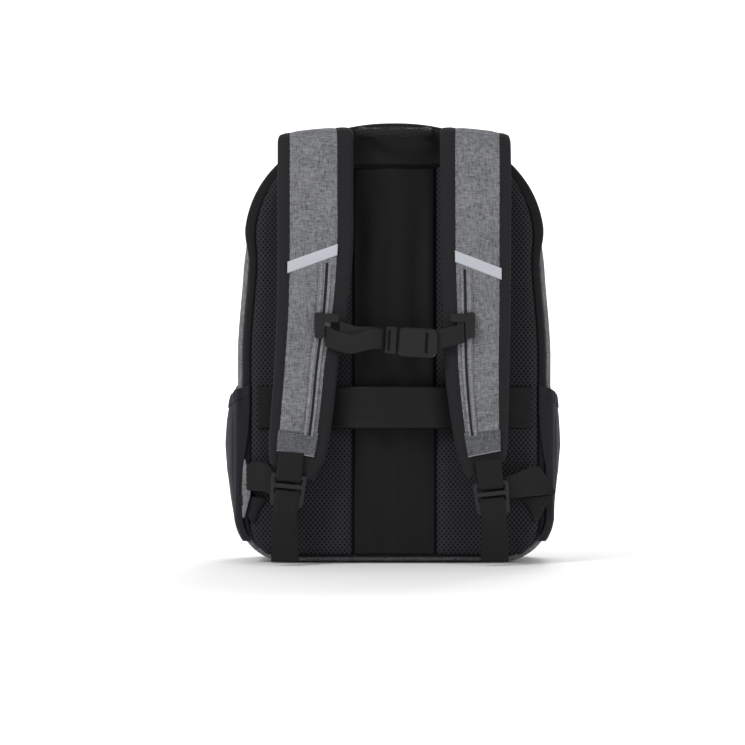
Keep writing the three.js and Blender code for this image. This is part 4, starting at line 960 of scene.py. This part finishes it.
def handle_rings():
    """Rings round a half oval path; the radius adds creases, which turn slowly round the roll,
    small crosswise gathers, and a bulge at both ends."""
    turn = np.linspace(0, math.pi, 150)
    path = np.stack([-HANDLE_HALF * np.cos(turn), HANDLE_SEAT - HANDLE_REACH * np.abs(np.sin(turn)) ** 0.8,
                     HANDLE_Z - HANDLE_SAG * np.sin(turn)], -1)
    from_end = np.minimum(turn, math.pi - turn) / math.pi * 16
    knot = np.exp(-(from_end / 1.6) ** 2)
    around = np.linspace(0, 2 * math.pi, 48, endpoint=False)[None, :]
    run = turn[:, None]
    creases = 0.5 * np.sin(7 * around + 5 * run) + 0.35 * np.sin(11 * around - 7 * run + 1)
    gathers = 0.4 * np.sin(34 * run + 3 * np.sin(around))
    gathers = gathers + 0.5 * knot[:, None] * np.sin(60 * run + 4 * around)
    radius = HANDLE_RADIUS + (HANDLE_KNOT - HANDLE_RADIUS) * knot[:, None] - 0.5
    radius = radius + 0.65 * (creases + gathers)
    along = np.stack([np.sin(turn), -0.8 * np.cos(turn), 0 * turn], -1)
    along /= np.linalg.norm(along, axis=1, keepdims=True)
    across = np.stack([-along[:, 1], along[:, 0], 0 * turn], -1)
    up = np.array([0, 0, 1.0])
    return path[:, None] + radius[..., None] * (
        across[:, None] * np.cos(around)[..., None] + up * np.sin(around)[..., None])


handle_cloth = black_cloth("black gathered handle sleeve", "#1d1d1e", roughness=0.7, weave=1.0)
handle = tube_mesh("handle_roll", handle_rings(), handle_cloth)
sew_on(handle, "webbing", "grab_handle")

# The sternum strap: 20 mm black webbing that runs from a clip on each rail to a side-release
# buckle in the middle, doubled back behind itself on the left, where it is adjusted.
WEB_THICK, RIB = 1.4, 1.5
STERNUM_ROWS = {
    "left": [(-57, -69.6, 242, -69.6, 221), (-60, -56, 236, -57, 216), (-63, -41, 233, -43, 213.5),
             (-64.4, -24, 238, -25, 217.5), (-62, -14, 238.6, -14, 218.2), (-60, -10.8, 238.6, -10.8, 218.2)],
    "back": [(-58.4, -55.1, 247, -55.1, 227), (-58.6, -40, 241.5, -40, 221.5),
             (-59.4, -24, 240.6, -24, 220.2), (-59, -16, 239.8, -16, 219.4)],
    "right": [(-60, 43, 237.2, 43, 216.8), (-60.4, 55, 240.5, 55, 220.4), (-58.6, 69.4, 244.4, 69.4, 224.6)]}


def webbing_cloth(name, colour):
    """Webbing: close ribs across the strap and a fine lengthwise grain, read from the piece's own
    UV map, in which V runs along the webbing."""
    material, tree = new_material(name)
    place = add_node(tree, "ShaderNodeTexCoord").outputs["UV"]
    ribs = add_node(tree, "ShaderNodeTexWave", {
        "Vector": place, "Scale": 1 / (RIB * MM) / 20 * 6.28, "Distortion": 0.5},
        wave_type="BANDS", bands_direction="Y")
    grain = add_node(tree, "ShaderNodeTexNoise", {"Vector": place, "Scale": 1500.0, "Detail": 2.0})
    height = add_node(tree, "ShaderNodeMath", {0: grain.outputs["Fac"], 1: 0.5, 2: ribs.outputs["Fac"]},
                      operation="MULTIPLY_ADD")
    return finish_material(material, {
        "Base Color": linear(colour), "Roughness": 0.6, "Specular IOR Level": 0.15},
        height.outputs[0], 0.5, 0.35)


def webbing_piece(name, rows, steps, material):
    """Strip of webbing between two edge curves, thinner at its selvedges, with ribs of 0.1 mm."""
    runs, shares = np.linspace(0, 1, steps), np.linspace(0, 1, 19)
    edge = np.clip(np.minimum(shares, 1 - shares) * 14, 0, 1)[None, :] ** 0.5
    half = WEB_THICK / 2 * (0.35 + 0.65 * edge) + 0 * runs[:, None]
    ridge = 0.12 * np.cos(2 * math.pi * shares * 5)[None, :] * edge
    front = strip_surface(rows, runs, shares, half + ridge)
    back = strip_surface(rows, runs, shares, -half)
    return sheet_mesh(name, front, back, material)


webbing_black = webbing_cloth("black nylon webbing", "#1b1b1c")
for part, rows in STERNUM_ROWS.items():
    web = webbing_piece(f"sternum_webbing_{part}", rows, 150, webbing_black)
    sew_on(web, "webbing", f"sternum_web_{part}")

# The webbing of the adjusters: a tab sewn to the strap's end holds the ladder lock, and 25 mm
# webbing runs from a triangle sewn in the side seam, through the lock, and hangs down as a tail.
LOCK_HEIGHT, LOCK_THICK, LOCK_BAR, LOCK_SLOT_HIGH = 33, 3.6, 4.4, 5
LOCKS = {"left": (-107.7, -46.8, 76, -0.1), "right": (97.9, -46.8, 68.5, 0.1)}
TAIL_Y, TAIL_Z = -41, 4


def lock_rows(side, rows):
    """Rows of a strip from (half width, height, y) in a lock's own plan, turned with its tilt."""
    x, y, z, tilt = LOCKS[side]
    seam = SIDES[side]
    half, high, out = np.array(rows, float).T
    cos, sin = math.cos(tilt), math.sin(tilt)
    return np.stack([
        y + out, x + seam * half * cos - high * sin, z + seam * half * sin + high * cos,
        x - seam * half * cos - high * sin, z - seam * half * sin + high * cos], -1)


def tab_rows(side):
    behind = LOCK_THICK / 2 + SEAM_GAP + WEB_THICK / 2
    slot = LOCK_HEIGHT / 2 - LOCK_BAR - LOCK_SLOT_HIGH / 2
    return lock_rows(side, [
        (13, 39, 0.7 - behind), (13, 27, 0.4 - behind), (12.6, 15, -behind), (12.6, slot + 1, -behind),
        (12.6, slot - 0.4, -1), (12.6, slot - 0.2, 1), (12.6, slot + 1, behind + 0.1),
        (12.6, 14, behind + 0.1)])


def tail_rows(side):
    ahead = LOCK_THICK / 2 + SEAM_GAP + WEB_THICK / 2
    slot = LOCK_HEIGHT / 2 - 2 * LOCK_BAR - 1.5 * LOCK_SLOT_HIGH - 1
    rows = lock_rows(side, [
        (12.5, slot + 0.6, 0), (12.5, slot - 0.4, 0.2 - ahead), (12.5, slot - 4, -ahead - 0.2),
        (12.5, -LOCK_HEIGHT / 2 - 12, -ahead - 0.6)])
    y, outer_x, outer_z, inner_x, inner_z = rows[-1]
    middle, seam = (outer_x + inner_x) / 2, SIDES[side]
    share = np.array([0.35, 0.7, 1])
    hang = np.stack([y + (TAIL_Y - y) * share, middle + seam * 14 + 0 * share,
                     outer_z + (TAIL_Z - outer_z) * share, middle - seam * 14 + 0 * share,
                     inner_z + (TAIL_Z - inner_z) * share], -1)
    return np.concatenate([rows, hang])


def adjusting_rows(side):
    x, y, _, _ = LOCKS[side]
    seam = SIDES[side]
    behind = y + LOCK_THICK / 2 + 2 * (SEAM_GAP + WEB_THICK) + 0.1 - WEB_THICK / 2
    wing_y = PAD_FACE - SEAM_GAP - CLOTH / 2
    plan = [(behind, abs(x) - 8, 89, 68), (behind + 0.6, 116, 91, 68)]
    plan += {"left": [(-36.5, 130, 103, 74), (-27, 142, 104.5, 75), (wing_y - 1.7, 151, 101, 76),
                      (-10.4, 153.2, 99, 77)],
             "right": [(-36, 130, 96.5, 69), (-27, 145, 100, 70), (wing_y - 2.6, 156, 85.5, 71),
                       (wing_y - 1, 163, 75, 71.6)]}[side]
    return np.array([(a, seam * b, c, seam * b, d) for a, b, c, d in plan])


def wing_rows(side):
    seam, wing_y = SIDES[side], PAD_FACE - SEAM_GAP - CLOTH / 2
    plan = [(wing_y, 131, 67.5, 66.5), (wing_y, 137.5, 68, 55), (wing_y, 144, 68.7, 43),
            (wing_y + 1.4, 152.5, 69.4, 56.5), (wing_y + 3, 161, 70.2, 69.2)]
    return np.array([(a, seam * b, c, seam * b, d) for a, b, c, d in plan])


strap_web = webbing_cloth("black strap webbing", "#161617")
for side in LOCKS:
    tab = webbing_piece(f"{side}_lock_tab", tab_rows(side), 130, strap_web)
    sew_on(tab, "webbing", f"strap_tab_{side}")
    tail = webbing_piece(f"{side}_tail", tail_rows(side), 110, strap_web)
    sew_on(tail, "webbing", f"web_tail_{side}")
    adjusting = webbing_piece(f"{side}_adjusting_webbing", adjusting_rows(side), 110, strap_web)
    sew_on(adjusting, "webbing", f"adjust_web_{side}")
    runs, shares = np.linspace(0, 1, 50), np.linspace(0, 1, 24)
    soft = 0.5 * np.sin(runs[:, None] * 7) * np.sin(shares[None, :] * 5)
    wing = sheet_mesh(f"{side}_wing", strip_surface(wing_rows(side), runs, shares, CLOTH / 2 + soft),
                      strip_surface(wing_rows(side), runs, shares, -CLOTH / 2 + soft), core_cloth)
    sew_on(wing, "black_fabric", f"anchor_wing_{side}")

# A narrow leaf of heather cloth covers the left webbing's end, from its face down into the seam
# between the panel's tape and the pocket. Rows give y, distance out to the left, top and bottom.
LEAF = [(-21.7, 145.8, 77, 73), (-21.8, 148, 89, 64), (-21.7, 150, 100, 56), (-21.2, 151.8, 107, 50),
        (-18.6, 153.4, 98, 47), (-15, 154.3, 84, 52), (-11.4, 154.9, 72, 58)]
leaf_rows = np.array([(y, -x, high, -x, low) for y, x, high, low in LEAF])
leaf_runs, leaf_shares = np.linspace(0, 1, 40), np.linspace(0, 1, 40)
leaf = sheet_mesh("left_seam_leaf", strip_surface(leaf_rows, leaf_runs, leaf_shares, 0.5),
                  strip_surface(leaf_rows, leaf_runs, leaf_shares, -0.5), heather)
sew_on(leaf, "heather_fabric")

# The front pocket: a flat patch pocket of the same heather cloth, sewn round its edge to the body's
# front and stiffened with foam. A cord of the cloth is piped round the body's front edge.
FRONT_LOW, FRONT_HIGH, FRONT_HALF, FRONT_CORNER, FRONT_RISE, FRONT_SEAT = 24, 244, 110, 30, 15, 0.85
FRONT_SHARE, FRONT_INSET = [0, 0.5, 0.82, 0.97, 1], [0, 0, 2.5, 9, 18]
ZIP_LOW, ZIP_HIGH, ZIP_HALF = 206, 222, 84
PIPING_SHARE, PIPING_RADIUS = 0.93, 1.5


def rounded_rectangle(half, low, high, corner, count):
    """Evenly spaced points (x, z) of the outline, from the middle of the lower edge round by +X."""
    turn = np.linspace(0, math.pi / 2, 16)
    centres = ((half - corner, low + corner, -1), (half - corner, high - corner, 0),
               (corner - half, high - corner, 1), (corner - half, low + corner, 2))
    arcs = [np.stack([x + corner * np.cos(turn + q * math.pi / 2),
                      z + corner * np.sin(turn + q * math.pi / 2)], -1) for x, z, q in centres]
    points = np.concatenate([[(0, low)], *arcs, [(0, low)]])
    length = np.concatenate([[0], np.cumsum(np.linalg.norm(np.diff(points, axis=0), axis=1))])
    even = np.linspace(0, length[-1], count, endpoint=False)
    return np.stack([np.interp(even, length, points[:, i]) for i in (0, 1)], -1)


def pocket_skin(edge, wall):
    """One skin of the patch pocket: rings that rise off the body's front, then close inwards."""
    fine = np.concatenate([np.linspace(0, 0.8, 6), np.linspace(0.84, 1, 12)])
    rings = [(inset_outline(edge, inset + wall), share)
             for share, inset in zip(fine, np.interp(fine, FRONT_SHARE, FRONT_INSET))]
    middle = np.array([0, (FRONT_LOW + FRONT_HIGH) / 2])
    rings += [((rings[-1][0] - middle) * scale + middle, 1.0) for scale in np.linspace(0.94, 0.03, 16)]
    skin = []
    for ring, share in rings:
        x, z = ring.T
        y = front_depth(x, z) + FRONT_SEAT + share * (FRONT_RISE - wall)
        clear_of_zip = smooth_step(np.abs(z - (ZIP_LOW + ZIP_HIGH) / 2), 12, 30)
        skin.append(np.stack([x, y + 1.2 * slack(x, y, z) * share * clear_of_zip, z], -1))
    return np.array(skin)


pocket_edge = rounded_rectangle(FRONT_HALF, FRONT_LOW, FRONT_HIGH, FRONT_CORNER, 220)
front_pocket = tube_mesh("front_patch_pocket", np.concatenate(
    [pocket_skin(pocket_edge, CLOTH)[::-1], pocket_skin(pocket_edge, 0.0)]), heather)
sew_on(front_pocket, "heather_fabric", "front_pocket")
piping_ring = outer_skin[int(np.argmin(np.abs(BODY_SHARES - PIPING_SHARE)))]
# The piping is the darker copy of the heather: painted shade on the cord.
piping = tube_mesh("body_piping", cord_rings(
    piping_ring, PIPING_RADIUS, 10, (0, 1, 0), closed=True), shaded_heather_copy, closed=True)
sew_on(piping, "heather_fabric")

# The zips: a nylon coil between two woven tapes, topstitched on both sides. One runs over the top
# of the body and down its sides, and one closes the front pocket.
ZIP_SHARE, ZIP_WIDE, ZIP_FROM = 0.42, 27, 150
ZIP_THICK, ZIP_RIDGE, ZIP_SEAM = 0.7, 0.45, 3       # the last is how far in its stitches run
TOOTH_PITCH, TOOTH_SIZE = 1.9, (5.2, 1.1, 0.9)


def zip_profile(across):
    """Height of a zip's tape over what it is sewn on: thin, with the coil's ridge in the middle."""
    return SEAM_GAP + ZIP_THICK + ZIP_RIDGE * np.exp(-(across / 3.2) ** 4)


def zip_tape(name, seat, outward, across, across_direction, node):
    """Tape, coil and stitches from a middle line, its outward directions, and distances across."""
    side_step = across[None, :, None] * np.asarray(across_direction, float)
    top = seat[:, None] + side_step + outward[:, None] * zip_profile(across)[None, :, None]
    low = seat[:, None] + side_step + outward[:, None] * SEAM_GAP
    tape_piece = sheet_mesh(name, top, low, zip_cloth)
    sew_on(tape_piece, "zip_tape", node)
    ridge = seat + outward * (SEAM_GAP + 1.1)
    middles, along = stitches_along(ridge, TOOTH_PITCH)
    points, faces = stitch_row(middles, np.broadcast_to(across_direction, middles.shape),
                               np.cross(across_direction, along), TOOTH_SIZE)
    sew_on(put_mesh(f"{name}_coil", points, faces, coil_nylon), "zip_tape")
    for number, edge in enumerate((across[0] + ZIP_SEAM, across[-1] - ZIP_SEAM)):
        line = seat + edge * np.asarray(across_direction, float) + outward * (SEAM_GAP + 0.75)
        sew_stitches(f"{name}_stitches_{number}", [line], [outward[len(outward) // 2]], thread, "zip_tape")


zip_cloth = black_cloth("black woven zip tape", "#1d1d1f", weave=0.9)
coil_nylon = black_cloth("black nylon zip coil", "#151516", roughness=0.4)
over_top = outline[:, 1] > ZIP_FROM
zip_line = inset_outline(outline, body_tuck(outline[:, 1]))[over_top]
zip_normal = -(inset_outline(outline, 1.0) - outline)[over_top]
zip_middle = ZIP_SHARE * front_depth(*outline[over_top].T)
zip_tape("main_zip_tape", np.stack([zip_line[:, 0], zip_middle, zip_line[:, 1]], -1),
         np.stack([zip_normal[:, 0], 0 * zip_middle, zip_normal[:, 1]], -1),
         np.linspace(-ZIP_WIDE / 2, ZIP_WIDE / 2, 25), (0, 1, 0), "main_zip")
front_x = np.linspace(-ZIP_HALF, ZIP_HALF, 120)
front_z = np.full(120, (ZIP_LOW + ZIP_HIGH) / 2)
front_y = front_depth(front_x, front_z) + FRONT_SEAT + FRONT_RISE
zip_tape("front_zip_tape", np.stack([front_x, front_y, front_z], -1),
         np.tile([0.0, 1.0, 0.0], (120, 1)), np.linspace(-8, 8, 17), (0, 0, 1), "front_zip")

# The moulded parts: black acetal ladder locks, buckle halves and rail clips, with the softened
# edges of a moulding and a satin surface. Their shapes are the frame's own.


def moulded_plastic():
    """Satin black acetal with a faint grain."""
    material, tree = new_material("moulded black acetal")
    place = add_node(tree, "ShaderNodeTexCoord").outputs["Object"]
    grain = add_node(tree, "ShaderNodeTexNoise", {"Vector": place, "Scale": 2200.0, "Detail": 1.0})
    return finish_material(material, {
        "Base Color": linear("#0e0e0f"), "Roughness": 0.3, "Specular IOR Level": 0.4},
        grain.outputs["Fac"], 0.15, 0.1)


def finish_frame_shape(node, material, rounding, segments):
    """The frame's own shape in that material, its edges rounded by so many mm."""
    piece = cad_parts[node]
    piece.data.materials.clear()
    piece.data.materials.append(material)
    bevel = piece.modifiers.new("softened edges", "BEVEL")
    bevel.width, bevel.segments, bevel.limit_method = rounding * MM, segments, "ANGLE"
    bevel.angle_limit = math.radians(30)


acetal = moulded_plastic()
for node in ("ladder_lock_left", "ladder_lock_right", "buckle_socket", "buckle_plug",
             "rail_clip_left", "rail_clip_right"):
    finish_frame_shape(node, acetal, 0.7, 3)

# The zip sliders: die-cast zinc with a dark nickel finish, each with a flat pull. Their shapes are
# the frame's own.


def slider_metal():
    """Dark nickel plate, brushed along the pull by the polishing."""
    material, tree = new_material("dark nickel plated zinc")
    place = add_node(tree, "ShaderNodeTexCoord").outputs["Object"]
    brushed = add_node(tree, "ShaderNodeMapping", {"Vector": place, "Scale": (1, 1, 12)})
    grain = add_node(tree, "ShaderNodeTexNoise", {"Vector": brushed.outputs[0], "Scale": 900.0})
    return finish_material(material, {
        "Base Color": linear("#5a5b5e"), "Metallic": 1.0, "Roughness": 0.32},
        grain.outputs["Fac"], 0.12, 0.1)


nickel = slider_metal()
for node in ("zip_slider_left", "zip_slider_right", "front_slider"):
    finish_frame_shape(node, nickel, 0.4, 2)
